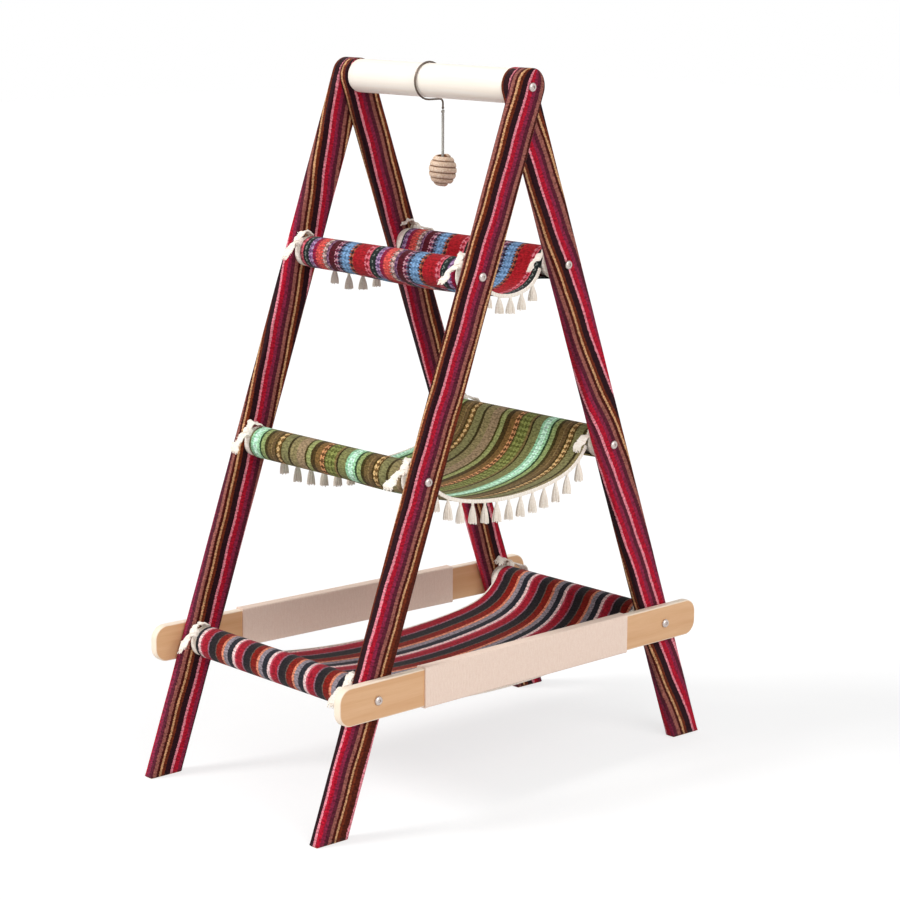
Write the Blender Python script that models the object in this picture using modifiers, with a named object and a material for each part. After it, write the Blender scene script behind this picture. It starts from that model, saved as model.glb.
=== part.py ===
"""A-frame cat tree with three cloth hammocks and a hanging toy.

Two A-frames of flat, cloth-covered legs stand side by side. A round bar joins
them at the top, and three pairs of dowels join them lower down. Each pair of
dowels carries a hammock, and a wooden board is bolted across the outside of
each A. A wire hook hugs the top bar and carries a rope-wound ball on a twine.

X runs along the bar and the dowels, Y from the front legs to the rear legs,
Z up. The origin is on the floor, under the middle of the top bar. All lengths
are in metres.
"""

import math

import bmesh
import bpy
from mathutils import Matrix, Vector

# Frame
PIVOT_HEIGHT = 0.926          # floor to the bolt that joins the legs of one A
FOOT_SPREAD = 0.662           # front to rear leg centreline, on the floor
FRAME_WIDTH = 0.370           # over the outer faces of the two front legs, covers on
LEG_WIDTH = 0.045
LEG_THICKNESS = 0.013
COVER_CLOTH = 0.0012          # cloth of the leg covers
COVER_FOOT_LIFT = 0.0012      # bare wood left at each foot
TOP_BAR_DIAMETER = 0.045
DOWEL_DIAMETER = 0.036

# Clearances
GAP = 0.0003                  # between pieces that touch on the real object
BOLT_HOLE_PLAY = 0.0004       # a hole's radius over its bolt's
POCKET_PLAY = 0.0008          # a hammock's pocket over its dowel

# Side boards
SIDE_BOARD_LENGTH = 0.662
SIDE_BOARD_HEIGHT = 0.050
SIDE_BOARD_THICKNESS = 0.012
SIDE_BOARD_CORNER = 0.019
SIDE_BOARD_EDGE = 0.0015
WRAP_LENGTH = 0.377
WRAP_CLOTH = 0.0016

# Bolts
BOLT_SHANK_DIAMETER = 0.006
BOLT_HEAD_DIAMETER = 0.012
BOLT_HEAD_HEIGHT = 0.0036
BOLT_HEAD_DOME = ((0.5, 1.0), (0.86, 0.66), (1.0, 0.15))    # shares of radius, height
BOLT_SOCKET_WIDTH = 0.004
BOLT_SOCKET_DEPTH = 0.0018
BOLT_GRIP = 0.025             # length of shank inside a dowel's end

# Hammocks: height of the dowels, how far the middle and the side edges sag, and
# how sharply the bed bends up to the dowels
UPPER_HEIGHT = 0.692
UPPER_SAG = 0.040
UPPER_EDGE_SAG = 0.035
UPPER_BEND_POWER = 6.5
MIDDLE_HEIGHT = 0.4405
MIDDLE_SAG = 0.0635
MIDDLE_EDGE_SAG = 0.051
MIDDLE_BEND_POWER = 8.0
LOWER_HEIGHT = 0.1775
LOWER_SAG = 0.055
LOWER_EDGE_SAG = 0.045
LOWER_BEND_POWER = 12.0
HAMMOCK_CLOTH = 0.0024
HAMMOCK_END_SPACE = 0.0135    # bare dowel between a hammock and the leg
BOWL_SHARE = 0.5              # of the rise is a shallow bowl, the rest is the bend
LEAVE_ANGLE = 18.0            # degrees above level where the bed leaves the dowel
SEAM_RUN = 0.012              # level run of the bed from the dowel to the pocket's seam
HEM_REACH = 0.006             # turned-under cloth behind the pocket's seam

# Trim along the sides of the hammocks
PIPING_DIAMETER = 0.0034
UPPER_TASSEL_LENGTH = 0.024
MIDDLE_TASSEL_LENGTH = 0.030
TASSEL_WIDTH = 0.011
TASSEL_TOP_WIDTH = 0.0035
TASSEL_NECK_WIDTH = 0.0029
TASSEL_NECK_SHARE = 0.3       # tied part of a tassel's length
TASSEL_SPACING = 0.0225
TASSEL_END_SPACE = 0.010      # piping left free of tassels at each end
TRIM_END_RUN = 0.005          # level run of the bed's ends without trim

# Ribbons tied round the dowel ends
RIBBON_WIDTH = 0.0105
RIBBON_THICKNESS = 0.0014
RIBBON_TAIL_LENGTH = 0.036
RIBBON_TAIL_ANGLE = 61.0      # degrees from the knot's outward line to a tail
RIBBON_TAIL_FALL = 1.1        # how much the outer half of a tail turns down
RIBBON_KNOT_RADIUS = 0.0058
RIBBON_KNOT_LIFT = 0.0002     # knot's near side over the band's inside
RIBBON_PIECE_WIDTHS = (0.0095, 0.0085, 0.0075)    # knot, then its two tails
RIBBON_KNOT_ANGLES = {"front": 140.0, "rear": 62.0}

# Hook and toy
HOOK_X = -0.0115
HOOK_WIRE_DIAMETER = 0.0026
HOOK_PLAY = 0.0009            # the hook's bend over the bar's radius
HOOK_TIP_ANGLE = 62.0         # degrees past level, behind the bar
HOOK_CORNER = 0.0054          # where the wire turns down behind the bar
HOOK_DROP = 0.0085            # straight end below that corner
HOOK_TIP_RADIUS = 0.0019
KNOT_RADIUS = 0.0026
TWINE_DIAMETER = 0.004
TWINE_LENGTH = 0.058
TWINE_STEPS = 7
BALL_WIDTH = 0.0376
BALL_HEIGHT = 0.0455
ROPE_DIAMETER = 0.0063
ROPE_LOOPS = 6

# Worked out from the sizes above
LEAN = math.atan2(FOOT_SPREAD / 2, PIVOT_HEIGHT)
COVER_BUILD = GAP + COVER_CLOTH
LEG_STACK = LEG_THICKNESS + 2 * COVER_BUILD
FRONT_LEG_X = FRAME_WIDTH / 2 - LEG_STACK / 2
REAR_LEG_X = FRONT_LEG_X - LEG_STACK - GAP
FRONT_INNER_FACE = FRONT_LEG_X - LEG_STACK / 2
REAR_INNER_FACE = REAR_LEG_X - LEG_STACK / 2
POCKET_RADIUS = DOWEL_DIAMETER / 2 + POCKET_PLAY + HAMMOCK_CLOTH / 2

SIDES = {"right": 1, "left": -1}
ENDS = {"front": -1, "rear": 1}
LEVELS = {
    "upper": (UPPER_HEIGHT, UPPER_SAG, UPPER_EDGE_SAG, UPPER_BEND_POWER),
    "middle": (MIDDLE_HEIGHT, MIDDLE_SAG, MIDDLE_EDGE_SAG, MIDDLE_BEND_POWER),
    "lower": (LOWER_HEIGHT, LOWER_SAG, LOWER_EDGE_SAG, LOWER_BEND_POWER),
}
LEG_X = {"front": FRONT_LEG_X, "rear": REAR_LEG_X}
INNER_FACE = {"front": FRONT_INNER_FACE, "rear": REAR_INNER_FACE}

# A flat outline drawn in its own XY stands up in the world's YZ, facing X
UPRIGHT = (math.pi / 2, 0, math.pi / 2)


def leg_y(height, end):
    """Y of a leg's centreline at a height above the floor."""
    return ENDS[end] * FOOT_SPREAD / 2 * (1 - height / PIVOT_HEIGHT)


def clear_scene():
    for obj in list(bpy.data.objects):
        bpy.data.objects.remove(obj, do_unlink=True)


def new_collection(name):
    collection = bpy.data.collections.new(name)
    bpy.context.scene.collection.children.link(collection)
    return collection


def new_material(name, colour, roughness, metallic=0.0):
    material = bpy.data.materials.new(name)
    material.use_nodes = True
    shader = material.node_tree.nodes["Principled BSDF"]
    shader.inputs["Base Color"].default_value = (*colour, 1)
    shader.inputs["Roughness"].default_value = roughness
    shader.inputs["Metallic"].default_value = metallic
    return material


def add_object(name, data, location=(0, 0, 0), rotation=(0, 0, 0)):
    obj = bpy.data.objects.new(name, data)
    PARTS.objects.link(obj)
    obj.location = location
    obj.rotation_euler = rotation
    bpy.context.view_layer.update()
    return obj


def finish(obj, material):
    obj.data.materials.clear()
    obj.data.materials.append(MATERIALS[material])
    return obj


def poly_curve(name, point_lists, dimensions, cyclic):
    """A curve of straight segments through each list of points."""
    curve = bpy.data.curves.new(name, "CURVE")
    curve.dimensions = dimensions
    for points in point_lists:
        spline = curve.splines.new("POLY")
        spline.points.add(len(points) - 1)
        for target, point in zip(spline.points, points):
            target.co = (*point, 1) if len(point) == 3 else (*point, 0, 1)
        spline.use_cyclic_u = cyclic
    return curve


def as_mesh(obj):
    """The curve object made a mesh in its place, with its caps welded on."""
    name = obj.name
    evaluated = obj.evaluated_get(bpy.context.evaluated_depsgraph_get())
    mesh = bpy.data.meshes.new_from_object(evaluated)
    shape = bmesh.new()
    shape.from_mesh(mesh)
    bmesh.ops.remove_doubles(shape, verts=shape.verts, dist=1e-6)
    shape.to_mesh(mesh)
    shape.free()
    matrix = obj.matrix_world.copy()
    curve = obj.data
    bpy.data.objects.remove(obj, do_unlink=True)
    bpy.data.curves.remove(curve)
    solid = bpy.data.objects.new(name, mesh)
    PARTS.objects.link(solid)
    solid.matrix_world = matrix
    return solid


def plate(name, outlines, thickness, location=(0, 0, 0), rotation=UPRIGHT):
    """A flat piece from closed outlines; a second outline is a hole."""
    outer, *holes = outlines
    turned_back = [list(reversed(hole)) for hole in holes]
    curve = poly_curve(name, [outer] + turned_back, "2D", True)
    curve.fill_mode = "BOTH"
    curve.extrude = thickness / 2
    return as_mesh(add_object(name, curve, location, rotation))


def tube(name, points, diameter, sides_resolution=1):
    """A round wire or cord along points, its ends closed."""
    curve = poly_curve(name, [points], "3D", False)
    curve.bevel_depth = diameter / 2
    curve.bevel_resolution = sides_resolution
    curve.use_fill_caps = True
    return as_mesh(add_object(name, curve))


def round_bar(name, diameter, length, location, segments=24):
    """A round bar along X, centred on its location."""
    shape = bmesh.new()
    bmesh.ops.create_cone(shape, cap_ends=True, segments=segments,
                          radius1=diameter / 2, radius2=diameter / 2, depth=length)
    mesh = bpy.data.meshes.new(name)
    shape.to_mesh(mesh)
    shape.free()
    mesh.shade_smooth()
    mesh.set_sharp_from_angle(angle=math.radians(40))
    return add_object(name, mesh, location, (0, math.pi / 2, 0))


def turned(name, profile, steps, location=(0, 0, 0), rotation=(0, 0, 0)):
    """A solid turned about its own Z from (radius, height) points, top to bottom."""
    mesh = bpy.data.meshes.new(name)
    shape = bmesh.new()
    ring = [shape.verts.new((radius, 0, height)) for radius, height in profile]
    for first, second in zip(ring, ring[1:]):
        shape.edges.new((first, second))
    shape.to_mesh(mesh)
    shape.free()
    obj = add_object(name, mesh, location, rotation)
    screw = obj.modifiers.new("Turn", "SCREW")
    screw.axis = "Z"
    screw.steps = steps
    screw.render_steps = steps
    screw.use_merge_vertices = True
    screw.merge_threshold = 0.00005
    screw.use_smooth_shade = True
    return obj


def apply_modifiers(obj):
    evaluated = obj.evaluated_get(bpy.context.evaluated_depsgraph_get())
    mesh = bpy.data.meshes.new_from_object(evaluated)
    obj.modifiers.clear()
    obj.data = mesh
    return obj


def bevel(obj, width, segments=2):
    modifier = obj.modifiers.new("Edges", "BEVEL")
    modifier.width = width
    modifier.segments = segments
    modifier.limit_method = "ANGLE"
    modifier.angle_limit = math.radians(60)
    return modifier


def boolean(obj, other, operation="DIFFERENCE"):
    modifier = obj.modifiers.new(operation.title(), "BOOLEAN")
    modifier.operation = operation
    modifier.solver = "EXACT"
    modifier.object = other
    return modifier


def as_cutter(obj):
    PARTS.objects.unlink(obj)
    CUTTERS.objects.link(obj)
    obj.hide_render = True
    obj.display_type = "WIRE"
    return obj


def arc(centre, radius, start, stop, count):
    """Points on an arc, angles in degrees, both ends included."""
    points = []
    for i in range(count + 1):
        angle = math.radians(start + (stop - start) * i / count)
        points.append((centre[0] + radius * math.cos(angle),
                       centre[1] + radius * math.sin(angle)))
    return points


def rounded_box(width, height, corner, count=4):
    """A rectangle with round corners, centred on the origin."""
    x = width / 2 - corner
    y = height / 2 - corner
    return (arc((x, y), corner, 0, 90, count) + arc((-x, y), corner, 90, 180, count)
            + arc((-x, -y), corner, 180, 270, count) + arc((x, -y), corner, 270, 360, count))


def leg_outline(half_width, foot_height, end, arc_count=8):
    """A leg seen along X, its origin at the top bolt: round above, cut level below."""
    sign = ENDS[end]
    tilt = sign * math.degrees(LEAN)
    drop = PIVOT_HEIGHT - foot_height
    foot_y = sign * drop * math.tan(LEAN)
    half_foot = half_width / math.cos(LEAN)
    head = arc((0, 0), half_width, tilt, 180 + tilt, arc_count)
    return head + [(foot_y - half_foot, -drop), (foot_y + half_foot, -drop)]


def bolt_centre(level, end):
    """Y and Z of a bolt: through the top bar, or through a dowel of one level."""
    if level == "top":
        return 0.0, PIVOT_HEIGHT
    height = LEVELS[level][0]
    return leg_y(height, end), height


def make_legs():
    for side, x_sign in SIDES.items():
        for end in ENDS:
            location = (x_sign * LEG_X[end], 0, PIVOT_HEIGHT)
            leg = plate(f"leg_{end}_{side}", [leg_outline(LEG_WIDTH / 2, 0, end)],
                        LEG_THICKNESS, location)
            drill(leg, end, side)
            finish(leg, "birch")

            cover = plate(f"leg_cover_{end}_{side}",
                          [leg_outline(LEG_WIDTH / 2 + COVER_BUILD, COVER_FOOT_LIFT, end)],
                          LEG_STACK, location)
            bevel(cover, COVER_CLOTH, 1)
            inside = plate(f"inside_{end}_{side}",
                           [leg_outline(LEG_WIDTH / 2 + GAP, -COVER_FOOT_LIFT, end)],
                           LEG_THICKNESS + 2 * GAP, location)
            boolean(cover, as_cutter(inside))
            drill(cover, end, side)
            finish(cover, "striped_cloth")


def make_bolt_holes():
    """One long cutter for each bolt, shared by all that the bolt passes through."""
    holes = {}
    for side, x_sign in SIDES.items():
        for level, end in BOLTS:
            y, z = bolt_centre(level, end)
            inner = INNER_FACE["rear" if level == "top" else end] - GAP - BOLT_GRIP - GAP
            outer = FRAME_WIDTH / 2 + 2 * SIDE_BOARD_THICKNESS
            hole = round_bar(f"hole_{level}_{end}_{side}",
                             BOLT_SHANK_DIAMETER + 2 * BOLT_HOLE_PLAY, outer - inner,
                             (x_sign * (inner + outer) / 2, y, z), segments=10)
            holes[level, end, side] = as_cutter(hole)
    return holes


def drill(obj, end, side):
    """Cut the holes of one leg: the top bolt's and one for each level."""
    for (level, hole_end, hole_side), hole in HOLES.items():
        if hole_side == side and (level == "top" or hole_end == end):
            boolean(obj, hole)


def make_bars():
    length = 2 * (REAR_INNER_FACE - GAP)
    bar = round_bar("top_bar", TOP_BAR_DIAMETER, length, (0, 0, PIVOT_HEIGHT), 32)
    for side in SIDES:
        boolean(bar, HOLES["top", "rear", side])
    finish(bar, "pale_wood")
    for level in LEVELS:
        for end in ENDS:
            y, z = bolt_centre(level, end)
            length = 2 * (INNER_FACE[end] - GAP)
            dowel = round_bar(f"dowel_{level}_{end}", DOWEL_DIAMETER, length, (0, y, z))
            for side in SIDES:
                boolean(dowel, HOLES[level, end, side])
            finish(dowel, "pale_wood")


def side_board_line():
    """Where a side board's inner face runs: X at Y = 0, and its slope in X over Y.

    The board lies on the outer front leg and on the inner rear leg, so it runs
    inwards to the rear by one covered leg.
    """
    half_foot = (LEG_WIDTH / 2 + COVER_BUILD) / math.cos(LEAN)
    top = LOWER_HEIGHT + SIDE_BOARD_HEIGHT / 2
    bottom = LOWER_HEIGHT - SIDE_BOARD_HEIGHT / 2
    front_y = leg_y(top, "front") + half_foot
    rear_y = leg_y(bottom, "rear") + half_foot
    front_x = FRAME_WIDTH / 2 + GAP
    rear_x = REAR_LEG_X + LEG_STACK / 2 + GAP
    slope = (rear_x - front_x) / (rear_y - front_y)
    return front_x - slope * front_y, slope


def make_side_boards():
    start_x, slope = side_board_line()
    skew = math.atan(slope)
    centre_x = start_x + SIDE_BOARD_THICKNESS / 2 / math.cos(skew)
    for side, x_sign in SIDES.items():
        location = (x_sign * centre_x, 0, LOWER_HEIGHT)
        rotation = (math.pi / 2, 0, math.pi / 2 - x_sign * skew)
        outline = rounded_box(SIDE_BOARD_LENGTH, SIDE_BOARD_HEIGHT, SIDE_BOARD_CORNER, 5)
        board = plate(f"side_board_{side}", [outline], SIDE_BOARD_THICKNESS,
                      location, rotation)
        bevel(board, SIDE_BOARD_EDGE)
        for end in ENDS:
            boolean(board, HOLES["lower", end, side])
        finish(board, "birch")

        inner = (SIDE_BOARD_THICKNESS + 2 * GAP, SIDE_BOARD_HEIGHT + 2 * GAP)
        outer = (inner[0] + 2 * WRAP_CLOTH, inner[1] + 2 * WRAP_CLOTH)
        wrap = plate(f"side_wrap_{side}",
                     [rounded_box(*outer, WRAP_CLOTH, 2), rounded_box(*inner, GAP, 1)],
                     WRAP_LENGTH, location, (math.pi / 2, 0, -x_sign * skew))
        finish(wrap, "cream_cord")


def bed_point(level, y, across):
    """Height of a hammock's bed at Y; across is 0 on its centreline, 1 at its edge."""
    height, sag, edge_sag, bend_power = LEVELS[level]
    low = height - edge_sag - (sag - edge_sag) * (1 - across ** 2)
    leave = height + POCKET_RADIUS * math.sin(math.radians(LEAVE_ANGLE))
    out = abs(y / bed_end(level))
    rise = BOWL_SHARE * out ** 2 + (1 - BOWL_SHARE) * out ** bend_power
    return low + (leave - low) * rise


def bed_end(level):
    """Y at which a hammock's bed leaves its rear dowel."""
    reach = bolt_centre(level, "rear")[0]
    return reach - POCKET_RADIUS * math.cos(math.radians(LEAVE_ANGLE))


def half_width(level, y):
    """Half the hammock's width at Y: it follows the gap between the legs."""
    front = FRONT_INNER_FACE - HAMMOCK_END_SPACE
    rear = REAR_INNER_FACE - HAMMOCK_END_SPACE
    end_y = bed_end(level)
    share = min(1, max(0, (y + end_y) / (2 * end_y)))
    return front + (rear - front) * share


def hammock_section(level, across, bed_count=16, turn_count=14):
    """The cloth's middle line in YZ: front pocket, bed, rear pocket."""
    reach, height = bolt_centre(level, "rear")
    end_y = bed_end(level)
    under = HAMMOCK_CLOTH + GAP
    hem = []
    for run in (SEAM_RUN + HEM_REACH, SEAM_RUN + HEM_REACH / 2, SEAM_RUN):
        y = end_y - run
        z = bed_point(level, y, across)
        slope = math.atan((bed_point(level, y + 0.001, across) - z) / 0.001)
        hem.append((y + under * math.sin(slope), z - under * math.cos(slope)))
    # From the seam the cloth runs on a tangent to the dowel's underside
    last_y, last_z = hem[-1][0] - reach, hem[-1][1] - height
    bearing = math.degrees(math.atan2(last_z, last_y)) % 360
    tangent = bearing + math.degrees(math.acos(POCKET_RADIUS / math.hypot(last_y, last_z)))
    pocket = arc((reach, height), POCKET_RADIUS, tangent, 540 - LEAVE_ANGLE, turn_count)
    rear = hem + pocket
    front = [(-y, z) for y, z in rear]
    bed = []
    for i in range(1, bed_count):
        y = -end_y * math.cos(math.pi * i / bed_count)
        bed.append((y, bed_point(level, y, across)))
    return front + bed + list(reversed(rear))


def make_hammock(level, station_count=4):
    """Cloth lofted across X between sections that sag less towards the edges."""
    shape = bmesh.new()
    rows = []
    for i in range(station_count + 1):
        across = -1 + 2 * i / station_count
        row = []
        for y, z in hammock_section(level, across):
            row.append(shape.verts.new((across * half_width(level, y), y, z)))
        rows.append(row)
    for row, next_row in zip(rows, rows[1:]):
        for i in range(len(row) - 1):
            shape.faces.new((row[i], next_row[i], next_row[i + 1], row[i + 1]))
    mesh = bpy.data.meshes.new(f"hammock_{level}")
    shape.to_mesh(mesh)
    shape.free()
    mesh.shade_smooth()
    hammock = add_object(f"hammock_{level}", mesh)
    solidify = hammock.modifiers.new("Cloth", "SOLIDIFY")
    solidify.thickness = HAMMOCK_CLOTH
    solidify.offset = 0
    solidify.use_even_offset = True
    finish(hammock, f"hammock_{level}")


def trim_path(level, side, count=16):
    """The piping's centreline along one side edge of a hammock's bed."""
    end_y = bed_end(level) - TRIM_END_RUN
    stand_off = GAP + PIPING_DIAMETER / 2
    points = []
    for i in range(count + 1):
        y = -end_y * math.cos(math.pi * i / count)
        x = SIDES[side] * (half_width(level, y) + stand_off)
        points.append(Vector((x, y, bed_point(level, y, 1))))
    return points


def tassel_profile(length):
    """A tied neck and a skirt that flares, from the top down."""
    return [(0, 0), (TASSEL_TOP_WIDTH / 2, 0),
            (TASSEL_NECK_WIDTH / 2, -length * TASSEL_NECK_SHARE),
            (TASSEL_WIDTH / 2, -length), (0, -length)]


def make_trim(level, side, tassel_length):
    """Piping along a side edge, with tassels hung from it where there are any."""
    name = f"fringe_{level}_{side}" if tassel_length else f"piping_{level}_{side}"
    path = trim_path(level, side)
    trim = tube(name, [tuple(point) for point in path], PIPING_DIAMETER)
    if tassel_length:
        reach = path[-1].y - TASSEL_END_SPACE
        count = int(2 * reach / TASSEL_SPACING) + 1
        for i in range(count):
            y = (i - (count - 1) / 2) * TASSEL_SPACING
            before = max(k for k, point in enumerate(path) if point.y <= y)
            share = (y - path[before].y) / (path[before + 1].y - path[before].y)
            spot = path[before].lerp(path[before + 1], share)
            tassel = turned(f"tassel_{name}_{i}", tassel_profile(tassel_length), 5, spot)
            boolean(trim, as_cutter(apply_modifiers(tassel)), "UNION")
    finish(trim, "cream_cotton")


def tail_outline(root, aim):
    """One tail of a ribbon, seen along the dowel: out from the knot, then falling."""
    fall = Vector((aim.x, aim.y - RIBBON_TAIL_FALL)).normalized()
    tip = root + aim * RIBBON_TAIL_LENGTH / 2
    end = tip + fall * RIBBON_TAIL_LENGTH / 2
    half = RIBBON_THICKNESS / 2
    aim_side = Vector((-aim.y, aim.x)) * half
    fall_side = Vector((-fall.y, fall.x)) * half
    bend = (aim_side + fall_side).normalized() * half
    points = [root - aim_side, tip - bend, end - fall_side,
              end + fall_side, tip + bend, root + aim_side]
    return [tuple(point) for point in points]


def ribbon_mesh(end):
    """A band round the dowel with its knot and tails joined on, centred on the dowel."""
    inside = DOWEL_DIAMETER / 2 + 2 * GAP
    rings = [arc((0, 0), inside + RIBBON_THICKNESS, 0, 360, 16)[:-1],
             arc((0, 0), inside, 0, 360, 16)[:-1]]
    band = plate(f"ribbon_band_{end}", rings, RIBBON_WIDTH)
    angle = math.radians(RIBBON_KNOT_ANGLES[end])
    out = Vector((math.cos(angle), math.sin(angle)))
    around = Vector((-out.y, out.x))
    root = out * (inside + RIBBON_KNOT_LIFT + RIBBON_KNOT_RADIUS)
    outlines = [arc(tuple(root), RIBBON_KNOT_RADIUS, 0, 360, 7)[:-1]]
    spread = math.radians(RIBBON_TAIL_ANGLE)
    for turn in (-1, 1):
        aim = out * math.cos(spread) + around * turn * math.sin(spread)
        outlines.append(tail_outline(root, aim))
    for i, (outline, width) in enumerate(zip(outlines, RIBBON_PIECE_WIDTHS)):
        piece = plate(f"ribbon_piece_{end}_{i}", [outline], width)
        boolean(band, as_cutter(piece), "UNION")
    apply_modifiers(band)
    finish(band, "cream_cotton")
    mesh = band.data
    bpy.data.objects.remove(band, do_unlink=True)
    return mesh


def make_ribbons():
    meshes = {end: ribbon_mesh(end) for end in ENDS}
    for level in LEVELS:
        for end in ENDS:
            y, z = bolt_centre(level, end)
            x = INNER_FACE[end] - HAMMOCK_END_SPACE / 2
            for side, x_sign in SIDES.items():
                add_object(f"ribbon_{level}_{end}_{side}", meshes[end],
                           (x_sign * x, y, z), UPRIGHT)


def bolt_profile(shank_length):
    """Half of a button-head bolt, its head's underside at height 0."""
    head = BOLT_HEAD_DIAMETER / 2
    shank = BOLT_SHANK_DIAMETER / 2
    dome = [(head * out, BOLT_HEAD_HEIGHT * up) for out, up in BOLT_HEAD_DOME]
    return ([(0, BOLT_HEAD_HEIGHT)] + dome
            + [(head, 0), (shank, 0), (shank, -shank_length), (0, -shank_length)])


def make_bolts():
    start_x, slope = side_board_line()
    tilt_room = BOLT_HEAD_DIAMETER / 2 * abs(slope)
    socket_radius = BOLT_SOCKET_WIDTH / 2 / math.cos(math.pi / 6)
    for side, x_sign in SIDES.items():
        for level, end in BOLTS:
            y, z = bolt_centre(level, end)
            seat = FRAME_WIDTH / 2 if level == "top" or end == "front" else \
                REAR_LEG_X + LEG_STACK / 2
            if level == "lower":
                board = SIDE_BOARD_THICKNESS / math.cos(math.atan(slope))
                seat = start_x + slope * y + board + tilt_room
            seat += GAP
            tip = INNER_FACE["rear" if level == "top" else end] - GAP - BOLT_GRIP
            name = f"bolt_{level}_{side}" if level == "top" else f"bolt_{level}_{end}_{side}"
            rotation = (0, x_sign * math.pi / 2, 0)
            bolt = turned(name, bolt_profile(seat - tip), 10,
                          (x_sign * seat, y, z), rotation)
            depth = BOLT_SOCKET_DEPTH * 2
            shape = bmesh.new()
            bmesh.ops.create_cone(shape, cap_ends=True, segments=6, radius1=socket_radius,
                                  radius2=socket_radius, depth=depth)
            mesh = bpy.data.meshes.new(f"socket_{name}")
            shape.to_mesh(mesh)
            shape.free()
            socket_x = x_sign * (seat + BOLT_HEAD_HEIGHT)
            socket = add_object(f"socket_{name}", mesh, (socket_x, y, z), rotation)
            boolean(bolt, as_cutter(socket))
            finish(bolt, "plated_steel")


def hook_points():
    """The wire's centreline in YZ about the bar's axis, tip first, then the toy's end."""
    radius = TOP_BAR_DIAMETER / 2 + HOOK_PLAY + HOOK_WIRE_DIAMETER / 2
    centre = (0, GAP - HOOK_PLAY)
    bend = arc(centre, radius, HOOK_TIP_ANGLE, 270, 16)
    # Behind the lowest point the wire runs level, then turns down
    level_end = radius - HOOK_CORNER
    bottom = centre[1] - radius
    turn = arc((level_end, bottom - HOOK_CORNER), HOOK_CORNER, 90, 0, 4)
    down = [(radius, bottom - HOOK_CORNER - HOOK_DROP + HOOK_TIP_RADIUS)]
    return bend + turn + down


def make_hook():
    """An open hook round the bar, its lower end a rounded tip that holds the twine."""
    points = [(0, y, z) for y, z in hook_points()]
    hook = tube("hook", points, HOOK_WIRE_DIAMETER, 2)
    hook.location = (HOOK_X, 0, PIVOT_HEIGHT)
    bpy.context.view_layer.update()
    tip = sphere("hook_tip", HOOK_TIP_RADIUS, toy_pivot(), 8, 6)
    boolean(hook, as_cutter(tip), "UNION")
    finish(hook, "dark_wire")


def toy_pivot():
    """The middle of the hook's rounded tip, in the world."""
    y, z = hook_points()[-1]
    return Vector((HOOK_X, y, PIVOT_HEIGHT + z))


def sphere(name, radius, location, segments, rings, stretch=1.0):
    shape = bmesh.new()
    bmesh.ops.create_uvsphere(shape, u_segments=segments, v_segments=rings, radius=radius)
    bmesh.ops.scale(shape, vec=(1, 1, stretch), verts=shape.verts)
    mesh = bpy.data.meshes.new(name)
    shape.to_mesh(mesh)
    shape.free()
    mesh.shade_smooth()
    return add_object(name, mesh, location)


def rope_points(points_per_loop=24):
    """The rope's centreline: loops at an even step from the ball's top to its foot."""
    wide = (BALL_WIDTH - ROPE_DIAMETER) / 2
    tall = (BALL_HEIGHT - ROPE_DIAMETER) / 2
    start = math.asin((TWINE_DIAMETER / 2 + ROPE_DIAMETER / 2 + 2 * GAP) / wide)
    count = ROPE_LOOPS * points_per_loop
    # Equal steps along the meridian keep the loops side by side
    fine = 400
    angles = [start + (math.pi - 2 * start) * i / fine for i in range(fine + 1)]
    meridian = [Vector((wide * math.sin(a), tall * math.cos(a))) for a in angles]
    travel = [0.0]
    for first, second in zip(meridian, meridian[1:]):
        travel.append(travel[-1] + (second - first).length)
    points = []
    place = 0
    for i in range(count + 1):
        goal = travel[-1] * i / count
        while place < fine - 1 and travel[place + 1] < goal:
            place += 1
        share = (goal - travel[place]) / (travel[place + 1] - travel[place])
        spot = meridian[place].lerp(meridian[place + 1], share)
        turn = 2 * math.pi * i / points_per_loop
        points.append(Vector((spot.x * math.cos(turn), spot.x * math.sin(turn), spot.y)))
    return points


def least_gap(points, diameter, skip):
    """The least distance from the tube to itself, leaving out its near neighbours."""
    least = min((first - second).length
                for i, first in enumerate(points) for second in points[i + skip:])
    return least - diameter


def make_toy():
    pivot = toy_pivot()
    knot_centre = pivot - Vector((0, 0, HOOK_TIP_RADIUS + GAP + KNOT_RADIUS))
    knot = sphere("twine_knot", KNOT_RADIUS, knot_centre, 10, 8)
    knot.data.transform(Matrix.Translation(knot_centre - pivot))
    knot.location = pivot
    finish(knot, "grey_twine")

    toy = bpy.data.objects.new("toy_pivot", None)
    PARTS.objects.link(toy)
    toy.location = knot_centre
    bpy.context.view_layer.update()

    route = []
    for i in range(TWINE_STEPS + 1):
        drop = TWINE_LENGTH * i / TWINE_STEPS
        route.append((0, 0, -KNOT_RADIUS - GAP - drop))
    twine = tube("toy_twine", route, TWINE_DIAMETER, 2)
    twine.parent = toy
    finish(twine, "grey_twine")

    core_height = BALL_HEIGHT / 2 - ROPE_DIAMETER - GAP
    core_radius = BALL_WIDTH / 2 - ROPE_DIAMETER - GAP
    ball_z = route[-1][2] - GAP - core_height
    core = sphere("toy_ball_core", core_radius, (0, 0, ball_z), 12, 8,
                  core_height / core_radius)
    core.parent = toy
    finish(core, "dark_fibre")

    points = rope_points()
    rope = tube("toy_ball_rope", [tuple(point) for point in points], ROPE_DIAMETER)
    rope.location = (0, 0, ball_z)
    rope.parent = toy
    finish(rope, "sisal_rope")
    gap = least_gap(points, ROPE_DIAMETER, 12)
    print(f"toy_ball_rope: least gap to itself {gap * 1000:.2f} mm")


BOLTS = [("top", "rear")] + [(level, end) for level in LEVELS for end in ENDS]

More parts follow.
